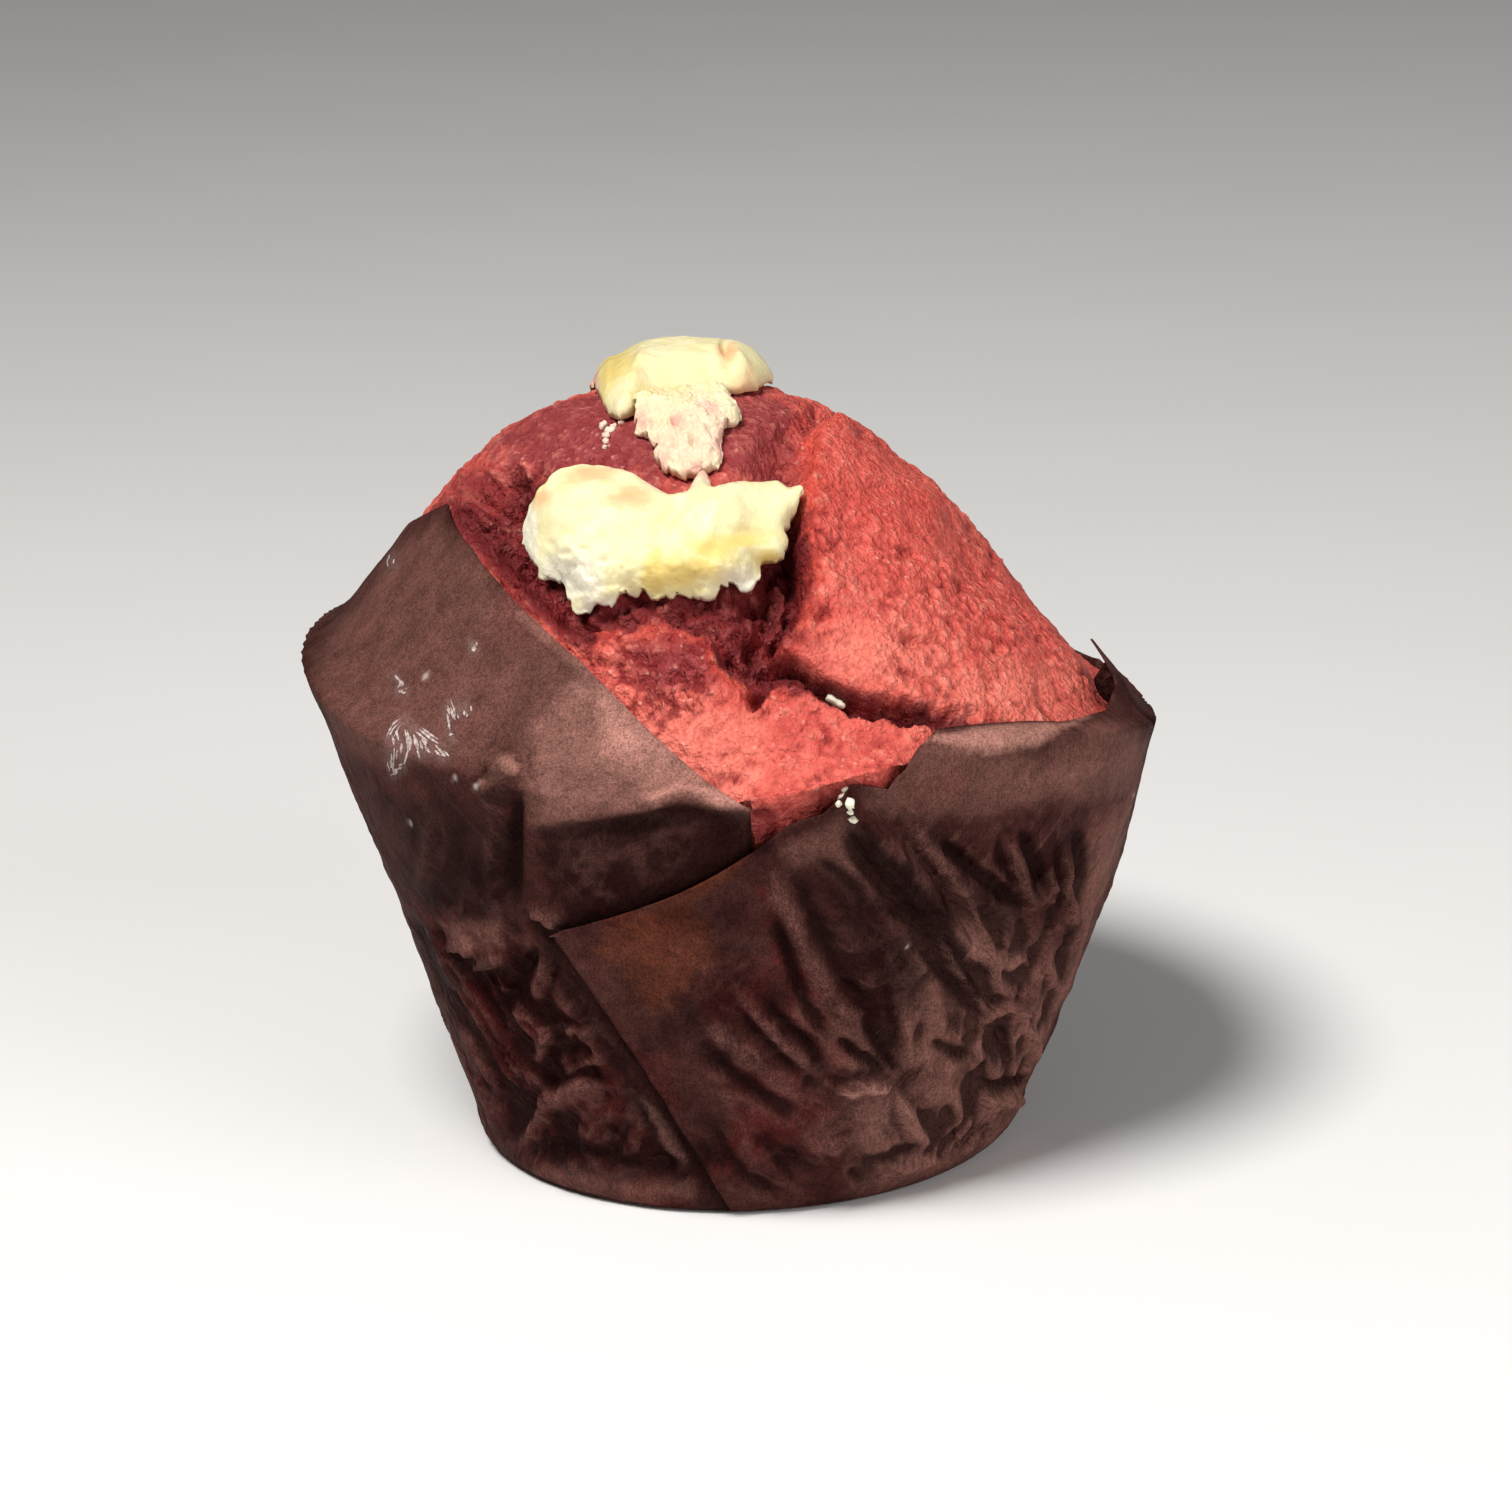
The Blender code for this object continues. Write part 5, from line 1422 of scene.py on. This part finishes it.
def crumple(sheet):
    """Creasing of the thin paper: sharp ridges, drawn out aslant down the walls."""
    angle = np.where(sheet.strip < -180.0, sheet.angle - 360.0, sheet.angle)
    wide = np.radians(angle) * EVEN_WALL_RADIUS
    flat = np.stack([wide, sheet.share * EVEN_WALL_HEIGHT, np.zeros_like(wide)], -1)
    bend = flat + 1.2 * np.stack([noise(flat, 6.0, seed) for seed in (201, 202, 203)], -1)
    mask = ease(0.5 + 1.6 * noise(flat, 17.0, 207))
    total = np.zeros(wide.shape)
    for slant, part, seed in zip(CRUMPLE_SLANTS, (mask, 1.0 - mask), (211, 231)):
        lean = math.radians(slant)
        across = bend[..., 0] * math.cos(lean) - bend[..., 1] * math.sin(lean)
        along = bend[..., 0] * math.sin(lean) + bend[..., 1] * math.cos(lean)
        place = np.stack([across, 0.4 * along, np.zeros_like(wide)], -1)
        for number, size in enumerate(CRUMPLE_SIZES):
            line = np.minimum(np.abs(noise(place, size, seed + number)), 0.6)
            total += part * size * (0.25 - line)
    amount = 0.22 + 0.78 * ease((0.86 - sheet.share) / 0.4)
    return CRUMPLE_HEIGHT * total * sheet.shown_or_back(amount, 1.3)


def tautness(sheet):
    """How much relief stays: little along the outline that is seen and over the shoulder."""
    above = sheet.share - TAUT_SHARE
    from_shoulder = np.where(above > 0.0, above / TAUT_ABOVE, -above / TAUT_BELOW)
    from_outline = np.abs(squareness(sheet.points, sheet.normals)) / 0.4
    return (0.2 + 0.8 * ease(from_outline)) * (0.25 + 0.75 * ease(from_shoulder))


def small_creases(sheet, back):
    """Crumpled paper, scattered creases and those of the back, before any fold that is seen."""
    scattered = 0.25 + 0.75 * ease((0.95 - sheet.share) / 0.3)
    scattered = sheet.shown_or_back(scattered, BACK_FOLD_SCALE)
    small = crumple(sheet) + BACK_FOLD_SCALE * back * (1.0 - sheet.front)
    small = small + scattered_creases(sheet.strip, sheet.share) * scattered
    wrinkled = sheet.painted(WRINKLED_AREAS, 12.0 * rough(sheet.points, 6.0, 361))
    return small * sheet.shown_or_back(0.3 + 0.8 * wrinkled, 1.0) * tautness(sheet)


def sheet_relief(sheet, folds, back):
    """Heights of all creases, gone at the foot and where the sheet is hidden."""
    folds = FOLD_LIMIT * np.tanh(FOLD_SCALE * folds / FOLD_LIMIT)
    small = small_creases(sheet, back) + folds * sheet.front
    small = small * ease(sheet.share / 0.08) * (1.0 - sheet.hidden)
    from_edge = ease((sheet.edge - sheet.share) / 0.16)
    limit = EDGE_INWARD_LIMIT + (INWARD_LIMIT - EDGE_INWARD_LIMIT) * from_edge
    return np.where(small < 0.0, limit * np.tanh(small / limit), small)


def flour_traces(sheet):
    """Faint flour round the streaks, and small dots of it."""
    flour = np.zeros(sheet.px.shape)
    for stroke in FLOUR_STROKES:
        away = line_distance(stroke, sheet.px, sheet.py)
        flour = np.maximum(flour, 0.11 * np.exp(-(away / 5.0) ** 2))
    for x, y, size in FLOUR_DOTS:
        away = np.hypot(sheet.px - x, sheet.py - y)
        flour = np.maximum(flour, 1.1 * np.exp(-(away / size) ** 2))
    return flour


def paper_marks(sheet, small, crest_sheen, hollow):
    """Areas of the paper: drier paper with painted sheen, soaked paper with painted shade, stains,
    flour, painted sheen on raised creases and painted shade in hollows and seams.
    """
    points = sheet.points
    wobble = 9.0 * rough(points, 3.0, 301)
    fringe = 9.0 * rough(points, 1.0, 305)
    shown = sheet.front * (1.0 - sheet.hidden)
    dry_and_sheen = np.maximum(sheet.painted(DRY_AND_SHEEN_AREAS, 0.6 * wobble),
                     sheet.painted(CRISP_DRY_AND_SHEEN_AREAS, 0.1 * fringe))
    damp_back = 0.2 * ease(-rough(points, 14.0, 331)) * (1.0 - sheet.front)
    # painted sheen on raised creases
    ridge_sheen = (0.5 + 0.3 * sheet.front) * ease((small - 0.12) / 0.5)
    # painted shade in sunk creases, hollows, seams and the listed areas
    painted_shade = ((0.3 + 0.6 * sheet.front) * ease((-small - 0.05) / 0.5), hollow,
            shaded_seams(sheet.strip, sheet.share),
            shown * sheet.painted(PAINTED_SHADE_AREAS, 0.3 * wobble))
    return {
        "dry_and_sheen": np.maximum(shown * dry_and_sheen, 0.04 * ease(0.5 + rough(points, 12.0, 321))),
        "damp_and_shade": np.maximum(shown * sheet.painted(DAMP_AND_SHADE_AREAS, wobble), damp_back),
        "brown_stain": shown * sheet.painted(BROWN_AREAS, wobble + fringe),
        "red_stain": np.maximum(shown * sheet.painted(RED_AREAS, wobble + fringe),
                                0.4 * ease(rough(points, 9.0, 341) * 2.0 - 0.6)),
        "flour": sheet.front * flour_traces(sheet),
        "ridge_sheen": np.clip(np.maximum(crest_sheen, ridge_sheen), 0.0, 1.0),
        "painted_shade": np.max(painted_shade, axis=0),
        "wrinkled": sheet.shown_or_back(sheet.painted(WRINKLED_AREAS, 2.0 * wobble), 1.0)}


def inner_shape(shape, inner_rows):
    """Inner side of the sheet: it has fewer rows, so each lies as low as the hollows near it."""
    rows = [inner_rows[0]] + inner_rows + [inner_rows[-1]]
    spans = zip(rows, rows[2:])
    return np.array([shape[low:high + 1].min(axis=0) for low, high in spans])


def rim_faces(rows, columns, inner_rows, first):
    """Thin faces that close the sheet along its free edges."""
    faces = []
    top = (rows - 1) * columns
    under = first + (len(inner_rows) - 1) * columns
    for index in range(columns - 1):
        faces.append((top + index, top + index + 1, under + index + 1, under + index))
        faces.append((index + 1, index, first + index, first + index + 1))
    for column, flip in ((0, False), (columns - 1, True)):
        for number in range(len(inner_rows) - 1):
            span = range(inner_rows[number], inner_rows[number + 1] + 1)
            ring = [row * columns + column for row in span]
            ring += [first + (number + 1) * columns + column, first + number * columns + column]
            faces.append(tuple(reversed(ring)) if flip else tuple(ring))
    return faces


def sheet_mesh(sheet, shape):
    """Points and faces of the outer and the inner side, and the rows that the inner one has."""
    outer = sheet.points + sheet.normals * shape[..., None]
    outer[..., 2] = np.maximum(outer[..., 2], 0.0)
    outer[sheet.share <= 0.0, 2] = 0.0
    near_edge = range(STRIP_ROWS - INNER_EDGE_ROWS, STRIP_ROWS)
    inner_rows = sorted({*range(0, STRIP_ROWS, INNER_ROW_STEP), *near_edge})
    depth = inner_shape(shape, inner_rows) - PAPER_THICKNESS
    inner = sheet.points[inner_rows] + sheet.normals[inner_rows] * depth[..., None]
    inner[..., 2] = np.maximum(inner[..., 2], INNER_FLOOR)
    rows, columns = shape.shape
    first = rows * columns
    faces = [grid_faces(rows, columns, False),
             grid_faces(len(inner_rows), columns, False, first, True),
             rim_faces(rows, columns, inner_rows, first)]
    return np.concatenate([outer.reshape(-1, 3), inner.reshape(-1, 3)]), faces, inner_rows


def build_paper(look):
    sheet = Sheet()
    folds, lit_crest, hollow = creases(sheet.px, sheet.py, FOLDS)
    back, back_lit_crest, back_hollow = round_back(sheet.angle, sheet.share)
    small = sheet_relief(sheet, folds, back)
    at_edge = ease((sheet.share - sheet.edge + 0.05) / 0.05)
    curl = EDGE_CURL * at_edge * (1.0 + noise(sheet.points, 6.0, 401))
    shape = pleat_lift(sheet.strip, sheet.share) + corner_lift(sheet.angle, sheet.share)
    every, faces, inner_rows = sheet_mesh(sheet, shape + small + curl)
    values = paper_marks(sheet, small, sheet.shown_or_back(lit_crest, back_lit_crest),
                         sheet.shown_or_back(hollow, back_hollow))
    values = {key: np.concatenate([value.ravel(), value[inner_rows].ravel()])
              for key, value in values.items()}
    return add_piece("tulip_paper", every, faces, look, values, "paper_case")


def build_paper_base(look):
    """Disc of paper under the muffin, with shallow random creases that fade out towards its rim.
    """
    angle, part = np.meshgrid(np.arange(0.0, 360.0, 3.0), np.linspace(0.05, BASE_PART, 14))
    turn = np.radians(angle)
    radius = BASE_FLAT_RADIUS * part
    lower = np.stack([radius * np.cos(turn), radius * np.sin(turn), np.zeros_like(radius)], -1)
    creased = np.abs(noise(lower, 5.0, 501)) * ease((BASE_PART - part) / 0.1)
    lower[..., 2] = BASE_LIFT + 0.18 * creased
    sides = np.stack([lower, lower + [0.0, 0.0, PAPER_THICKNESS]])
    ends = sides[:, 0].mean(axis=1) * [0.0, 0.0, 1.0]
    rows, columns = part.shape
    half = rows * columns
    ring = np.arange(columns)
    last = ring + half - columns
    after = np.roll(last, -1)
    faces = [grid_faces(rows, columns, True, 0, True), grid_faces(rows, columns, True, half),
             np.stack([last, after, after + half, last + half], -1),
             fan_faces(ring, 2 * half), fan_faces(ring + half, 2 * half + 1, True)]
    every = np.concatenate([sides.reshape(-1, 3), ends])
    return add_piece("paper_base", every, faces, look)


# ---- cream cheese -------------------------------------------------------------------------

def slope_axes(place):
    """Axes of a slope that leans towards the front: across it, up it and out of it."""
    lean = math.radians(place[1])
    return np.array([[1.0, 0.0, 0.0], [0.0, math.cos(lean), math.sin(lean)],
                     [0.0, -math.sin(lean), math.cos(lean)]])


def onto_slope(points, place):
    return (points - np.array(place[0])) @ slope_axes(place).T


def off_slope(spot, height, place):
    """Point at a spot (across, up) of a slope and a height out of it."""
    return np.array(place[0]) + np.concatenate([spot, height[..., None]], -1) @ slope_axes(place)


def height_map(tree, place):
    """Heights of a surface over a grid on a slope, looked at straight from outside."""
    steps = np.arange(-MAP_REACH, MAP_REACH, MAP_STEP)
    spots = np.stack(np.meshgrid(steps, steps, indexing="ij"), -1).reshape(-1, 2)
    start = 2.0 * MAP_REACH
    origins = off_slope(spots, np.full(len(spots), start), place)
    inward = Vector(-slope_axes(place)[2])
    found = [tree.ray_cast(Vector(origin), inward)[3] for origin in origins]
    heights = [-MAP_REACH if away is None else start - away for away in found]
    return np.array(heights).reshape(len(steps), -1)


def read_map(heights, spot):
    """Height between the points of a grid."""
    place = np.clip((spot + MAP_REACH) / MAP_STEP, 0.0, len(heights) - 1.001)
    corner = place.astype(int)
    left, low = corner[..., 0], corner[..., 1]
    across, along = np.moveaxis(place - corner, -1, 0)
    near = heights[left, low] * (1 - across) + heights[left + 1, low] * across
    far = heights[left, low + 1] * (1 - across) + heights[left + 1, low + 1] * across
    return near * (1 - along) + far * along


def highest_near(heights, reach):
    """Each point's highest neighbour within a few steps of the grid."""
    best = heights.copy()
    wide, high = heights.shape
    padded = np.pad(heights, reach, mode="edge")
    for dx, dy in itertools.product(range(2 * reach + 1), repeat=2):
        best = np.maximum(best, padded[dx:dx + wide, dy:dy + high])
    return best


def smooth_crown_tree():
    angle, share = np.meshgrid(np.arange(-180.0, 180.0, 3.0), np.linspace(0.9, 2.0, 60))
    points = body_point(angle, share)
    rows, columns = share.shape
    faces = grid_faces(rows, columns, True)
    return BVHTree.FromPolygons([tuple(p) for p in points.reshape(-1, 3)],
                                [tuple(int(i) for i in face) for face in faces])


def object_tree(item):
    points = [tuple(vertex.co / MM) for vertex in item.data.vertices]
    return BVHTree.FromPolygons(points, [tuple(face.vertices) for face in item.data.polygons])


def resting_map(cake_tree, place):
    """Heights on which the cream lies: on the cake, but bridging its pits."""
    smooth = height_map(smooth_crown_tree(), place)
    top = highest_near(height_map(cake_tree, place), 2)
    return np.maximum(top + CREAM_GAP, smooth - CREAM_SINK), smooth


def seen_on(corners, lift, rest, place):
    """Spots on the slope that are seen at pixels, a little above what the cream lies on."""
    reach = np.arange(CAMERA_DISTANCE - 50.0, CAMERA_DISTANCE + 20.0, 0.05)
    sights = sight(corners[:, :1], corners[:, 1:])[:, None, :] * reach[None, :, None]
    local = onto_slope(camera_axes()[0] + sights, place)
    inside = np.abs(local[..., :2]).max(-1) < MAP_REACH - 1.0
    below = local[..., 2] - read_map(rest, local[..., :2]) < lift[:, None]
    first = np.argmax(below & inside, axis=1)
    return local[np.arange(len(first)), first, :2]


def seen_outline(outline, thickness, rest, place):
    """Outline of a piece; where its far side shows, its top edge is what is seen."""
    corners = np.array(outline, float)
    along = np.roll(corners, -1, 0) - np.roll(corners, 1, 0)
    upness = np.clip(along[:, 0] / np.maximum(np.hypot(*along.T), 1e-6), 0.0, 1.0)
    lift = 0.3 + 0.33 * thickness * upness
    return seen_on(corners, lift, rest, place)


def evened(line):
    """Closed line whose points have moved a little towards their neighbours."""
    return 0.5 * line + 0.25 * (np.roll(line, 1, 0) + np.roll(line, -1, 0))


def fine_outline(outline, count, ragged, seed):
    """Closed outline with evenly spaced points, and small notches where it crumbled."""
    corners = np.concatenate([outline, outline[:1]])
    lengths = np.hypot(*np.diff(corners, axis=0).T)
    along = np.concatenate([[0.0], np.cumsum(lengths)])
    place = np.linspace(0.0, along[-1], count, endpoint=False)
    line = np.stack([np.interp(place, along, column) for column in corners.T], -1)
    for _ in range(3):
        line = evened(line)
    where = np.concatenate([line, np.zeros((count, 1))], -1)
    wiggle = np.stack([rough(where, 0.9, seed), rough(where, 0.9, seed + 7)], -1)
    return line + ragged * wiggle


def evened_rings(line):
    """Rings of an outline, each a little more even than the one outside it."""
    rings = [line]
    for _ in range(CREAM_RINGS - 1):
        for _ in range(4):
            line = evened(line)
        rings.append(line)
    return np.array(rings)


def blurred(heights, rounds):
    for _ in range(rounds):
        padded = np.pad(heights, 1, mode="edge")
        upright = padded[:-2, 1:-1] + padded[2:, 1:-1]
        heights = 0.25 * (upright + padded[1:-1, :-2] + padded[1:-1, 2:])
    return heights


def slope_normals(smooth, spot, place):
    """Outward normal of the smooth crown under each spot of the slope."""
    rises = [read_map(smooth, spot + step) - read_map(smooth, spot - step)
             for step in (np.array([2.0, 0.0]), np.array([0.0, 2.0]))]
    leans = [-0.6 * rise / 4.0 for rise in rises]
    return unit(np.stack([*leans, np.ones_like(leans[0])], -1)) @ slope_axes(place)


def soft_folds(px, py, folds):
    """Sum of rounded ridges and valleys."""
    total = np.zeros(np.shape(px))
    for height, left, right, points in folds:
        away, side, there = beside_line(points, px, py)
        width = 1.3 * np.where(side > 0.0, right, left)
        total += height * there * ease(1.0 - away / width)
    return total


def fringe_width(px, py, edge):
    """How far in from the edge the cream reaches its height: far along the crumbled parts."""
    width = np.full(np.shape(px), edge)
    for x, y, wide, high, reach in CREAM_FRINGES:
        width = width + (reach - width) * soft_patch(px, py, ((x, y, wide, high),), 0.0)
    return width


def cream_height(base, px, py, inset, thickness, crumbly, edge, seed):
    """Height of a piece above what it rests on: a pillow with lobes, creases and pits."""
    swell = np.full(np.shape(px), CREAM_SWELL)
    for x, y, wide, high, share in CREAM_LOBES:
        away = ease(1.1 - np.hypot((px - x) / wide, (py - y) / high))
        swell = swell + share * away * (LOBE_SWELL - swell)
    fringe = fringe_width(px, py, edge)
    inward = 1.0 - np.clip((inset + 0.1) / fringe, 0.0, 1.0)
    loose = ease((fringe - edge) / 0.7)
    rounding = np.clip(1.0 - inward ** 2.2, 0.0, 1.0) ** (0.5 + 0.4 * loose)
    high = CREAM_BORDER + (thickness * swell - CREAM_BORDER) * rounding
    bent = base + 0.3 * np.stack([noise(base, 0.8, seed + k) for k in (61, 62, 63)], -1)
    first, _ = cells(bent, CREAM_LUMP_SIZE, seed + 20)
    fine, _ = cells(bent, CREAM_GRAIN_SIZE, seed + 25)
    crumbs = crumbly + 0.38 * loose * ease(2.0 - inset / fringe)
    lumps = 0.8 * (0.5 - first) + 0.5 * (0.45 - fine) + 0.4 * rough(base, 0.9, seed + 30)
    folds = soft_folds(px, py, CREAM_FOLDS)
    pits = dents(px, py, CREAM_PITS)
    soft = 0.16 * rough(base, 3.0, seed + 40) + 0.03 * noise(base, 0.7, seed + 45)
    high = high + crumbs * lumps * ease(inset / 0.3 + 0.4)
    return np.maximum(high + (folds - pits + soft) * rounding, CREAM_THINNEST)


def cream_mesh(upper, under):
    """Points and faces of a piece: its upper side, its flat under side and a point on each."""
    points = np.concatenate([upper.reshape(-1, 3), under.reshape(-1, 3),
                             [upper[-1].mean(axis=0), under[-1].mean(axis=0)]])
    ring = np.arange(CREAM_COLUMNS)
    after = np.roll(ring, -1)
    first = CREAM_RINGS * CREAM_COLUMNS
    faces = [grid_faces(CREAM_RINGS, CREAM_COLUMNS, True),
             np.stack([after, ring, ring + first, after + first], -1),
             grid_faces(len(under), CREAM_COLUMNS, True, first, True),
             fan_faces(ring + first - CREAM_COLUMNS, len(points) - 2),
             fan_faces(ring + len(points) - 2 - CREAM_COLUMNS, len(points) - 1, True)]
    return points, faces


def build_cream(name, outline, where, look):
    """A piece of cream cheese draped over what lies under its outline."""
    thickness, edge, ragged, crumbly, seed = CREAM_KINDS[name]
    place, rest, smooth = where
    line = fine_outline(outline, CREAM_COLUMNS, ragged, seed)
    centre = 0.5 * (line.min(axis=0) + line.max(axis=0))
    reach = 1.0 - np.linspace(0.0, 1.0, CREAM_RINGS) ** 1.2 * 0.985
    spot = centre + (evened_rings(line) - centre) * reach[:, None, None]
    plain = fine_outline(outline, CREAM_COLUMNS, 0.0, seed)[::2]
    inset = outline_distance(plain, spot[..., 0], spot[..., 1])
    level = read_map(rest, spot)
    lying = off_slope(spot, level, place)
    even = read_map(blurred(rest, 14), spot)
    base = off_slope(spot, level + (even - level) * ease(inset / 1.8), place)
    normal = slope_normals(smooth, spot, place)
    px, py = seen_at(base + normal * 0.6 * thickness)
    high = cream_height(base, px, py, inset, thickness, crumbly, edge, seed)
    points, faces = cream_mesh(base + normal * high[..., None], lying[CREAM_UNDER_RINGS])
    values = {}
    for key, spots in CREAM_COLOURS.items():
        value = soft_patch(px, py, spots, 0.3 * rough(base, 1.8, seed + 50))
        under = value[CREAM_UNDER_RINGS].ravel()
        values[key] = np.concatenate([value.ravel(), under, [0.0, 0.0]])
    node = "cream_cheese_" + name.removesuffix("_cream")
    return add_piece(name, points, faces, look, values, node)


def build_creams(cake_tree, look):
    for name, outline, place in (("front_cream", FRONT_CREAM, FRONT_PLACE),
                                 ("middle_cream", MIDDLE_CREAM, MIDDLE_PLACE)):
        rest, smooth = resting_map(cake_tree, place)
        outline = seen_outline(outline, CREAM_KINDS[name][0], rest, place)
        build_cream(name, outline, (place, rest, smooth), look)
    rest, smooth = resting_map(cake_tree, TOP_PLACE)
    near = np.array(TOP_CREAM_NEAR, float)
    near = seen_on(near, np.full(len(near), 0.5), rest, TOP_PLACE)
    far = np.array(TOP_CREAM_FAR) - np.array(TOP_PLACE[0][:2])
    build_cream("top_cream", np.concatenate([near, far]), (TOP_PLACE, rest, smooth), look)


# ---- loose bits and flour ------------------------------------------------------------------

def sight_hit(trees, px, py):
    """Nearest point of the given surfaces that a pixel of the photograph looks at."""
    eye = Vector(camera_axes()[0])
    ray = Vector(sight(px, py)).normalized()
    hits = [hit for hit in (tree.ray_cast(eye, ray) for tree in trees) if hit[0] is not None]
    best = min(hits, key=lambda hit: hit[3])
    return np.array(best[0]), np.array(best[1])


def loose_bit(trees, number, px, py, size, flat):
    """Points of one uneven lump that rests on what lies below it, and its two ends."""
    middle, normal = sight_hit(trees, px, py)
    across = unit(np.cross(normal, [0.3, -0.5, 0.8]))
    axes = np.stack([across, np.cross(normal, across), normal])
    turn, rise = np.meshgrid(np.radians(np.arange(BIT_COLUMNS) * 360.0 / BIT_COLUMNS),
                             np.radians(np.linspace(-80.0, 80.0, BIT_ROWS)))
    ball = np.stack([np.cos(rise) * np.cos(turn), np.cos(rise) * np.sin(turn) * flat * 1.3,
                     np.sin(rise) * flat], -1)
    ball = ball * (1.0 + 0.5 * noise(ball + number * 3.0, 0.6, 601))[..., None] * size
    solid = middle + normal * size * flat * 0.5 + ball @ axes
    ends = [solid[0].mean(axis=0), solid[-1].mean(axis=0)]
    return np.concatenate([solid.reshape(-1, 3), ends])


def build_bits(trees, look):
    points = [loose_bit(trees, number, *bit[:4]) for number, bit in enumerate(WHITE_BITS)]
    count = BIT_ROWS * BIT_COLUMNS
    faces = []
    for first in range(0, len(points) * (count + 2), count + 2):
        ring = np.arange(BIT_COLUMNS) + first
        faces.append(grid_faces(BIT_ROWS, BIT_COLUMNS, True, first, True))
        faces.append(fan_faces(ring, first + count))
        faces.append(fan_faces(ring + count - BIT_COLUMNS, first + count + 1, True))
    pinks = np.repeat([bit[4] for bit in WHITE_BITS], count + 2)
    values = {"white": np.ones(len(pinks)), "pink": pinks}
    return add_piece("cream_bits", np.concatenate(points), faces, look, values)


def flour_ribbon(tree, stroke, chance):
    """The two edges of a narrow ribbon that lies on the paper, near a stroke."""
    shift = chance.normal(0.0, FLOUR_SPREAD, 2)
    start, end = sorted(chance.uniform(0.0, 1.0, 2))
    parts = np.linspace(start, max(end, start + FLOUR_SHORTEST), RIBBON_POINTS)
    turns = np.linspace(0.0, 1.0, len(stroke))
    pixels = [np.interp(parts, turns, column) + push for column, push in zip(zip(*stroke), shift)]
    hits = [sight_hit((tree,), px, py) for px, py in zip(*pixels)]
    middle, normal = np.moveaxis(np.array(hits), 1, 0)
    # where a ribbon runs past its stroke's end its points repeat: such points get no direction
    # and end up at the origin, inside the muffin
    sideways = np.cross(normal, np.gradient(middle, axis=0))
    sideways = sideways / np.linalg.norm(sideways, axis=-1, keepdims=True)
    swell = np.sin(np.linspace(0.15, 3.0, RIBBON_POINTS))
    width = FLOUR_WIDTH * swell * chance.uniform(0.5, 1.3, RIBBON_POINTS)
    middle = middle + FLOUR_LIFT * normal
    return [middle - sideways * width[:, None], middle + sideways * width[:, None]]


def build_flour(tree, look):
    """Thin streaks of flour rubbed onto the left panel."""
    chance = np.random.default_rng(CREASE_SEED)
    sides = []
    faces = []
    for stroke in FLOUR_STROKES:
        for _ in range(FLOUR_BANDS):
            first = RIBBON_POINTS * len(sides)
            sides += flour_ribbon(tree, stroke, chance)
            faces.append(grid_faces(2, RIBBON_POINTS, False, first))
    every = np.concatenate(sides)
    values = {"flour": np.ones(len(every))}
    return add_piece("flour_streaks", every, faces, look, values)


# ---- stage --------------------------------------------------------------------------------
FLOOR_SIZE = 3.0
# each light's place and size in metres, power in watts and colour
LIGHTS = {"key": ((-0.22, -0.30, 0.68), 0.28, 6.8, (1.0, 0.97, 0.94)),
          "fill": ((0.50, -0.50, 0.30), 0.50, 2.4, (1.0, 0.98, 0.96))}
LIGHTS_AIM = (0.0, 0.0, 0.05)
SKY_COLOUR = (1.0, 0.98, 0.95, 1.0)
SKY_STRENGTH = 0.10


def build_camera():
    place, right, up, ahead = camera_axes()
    data = bpy.data.cameras.new("camera")
    camera = bpy.data.objects.new("camera", data)
    bpy.context.scene.collection.objects.link(camera)
    axes = Matrix((right, up, -ahead)).transposed().to_4x4()
    axes.translation = Vector(place * MM)
    camera.matrix_world = axes
    data.sensor_width = SENSOR_WIDTH
    data.lens = SENSOR_WIDTH * CAMERA_DISTANCE * PIXELS_PER_MM / PHOTO_SIZE
    data.clip_start = 0.01
    bpy.context.scene.camera = camera


def build_floor():
    mesh = bpy.data.meshes.new("floor")
    corners = [(FLOOR_SIZE * x, FLOOR_SIZE * y, 0.0)
               for x, y in ((-1, -1), (1, -1), (1, 1), (-1, 1))]
    mesh.from_pydata(corners, [], [(0, 1, 2, 3)])
    look = Look("pale_floor")
    tint = look.blend(look.speckle(60.0, 2.0), (0.82, 0.82, 0.82, 1), (0.86, 0.86, 0.86, 1))
    mesh.materials.append(look.surface({"Base Color": tint, "Roughness": 0.7}))
    floor = bpy.data.objects.new("floor", mesh)
    bpy.context.scene.collection.objects.link(floor)


def build_lights():
    for name, (place, size, power, colour) in LIGHTS.items():
        data = bpy.data.lights.new(name, "AREA")
        data.shape = "DISK"
        data.size = size
        data.energy = power
        data.color = colour
        light = bpy.data.objects.new(name, data)
        light.location = place
        aim = Vector(LIGHTS_AIM) - Vector(place)
        light.rotation_euler = aim.to_track_quat("-Z", "Y").to_euler()
        bpy.context.scene.collection.objects.link(light)
    world = bpy.data.worlds.new("studio")
    bpy.context.scene.world = world
    world.use_nodes = True
    sky = world.node_tree.nodes["Background"]
    sky.inputs["Color"].default_value = SKY_COLOUR
    sky.inputs["Strength"].default_value = SKY_STRENGTH
    bpy.context.scene.view_settings.view_transform = "Standard"


def main():
    build_camera()
    build_floor()
    build_lights()
    crumb_look = cake_look()
    paper = paper_look()
    cream = cream_look()
    cake = build_cake(crumb_look)
    case = build_paper(paper)
    build_paper_base(paper)
    cake_tree = object_tree(cake)
    build_creams(cake_tree, cream)
    case_tree = object_tree(case)
    build_bits((cake_tree, case_tree), cream)
    build_flour(case_tree, paper)


main()
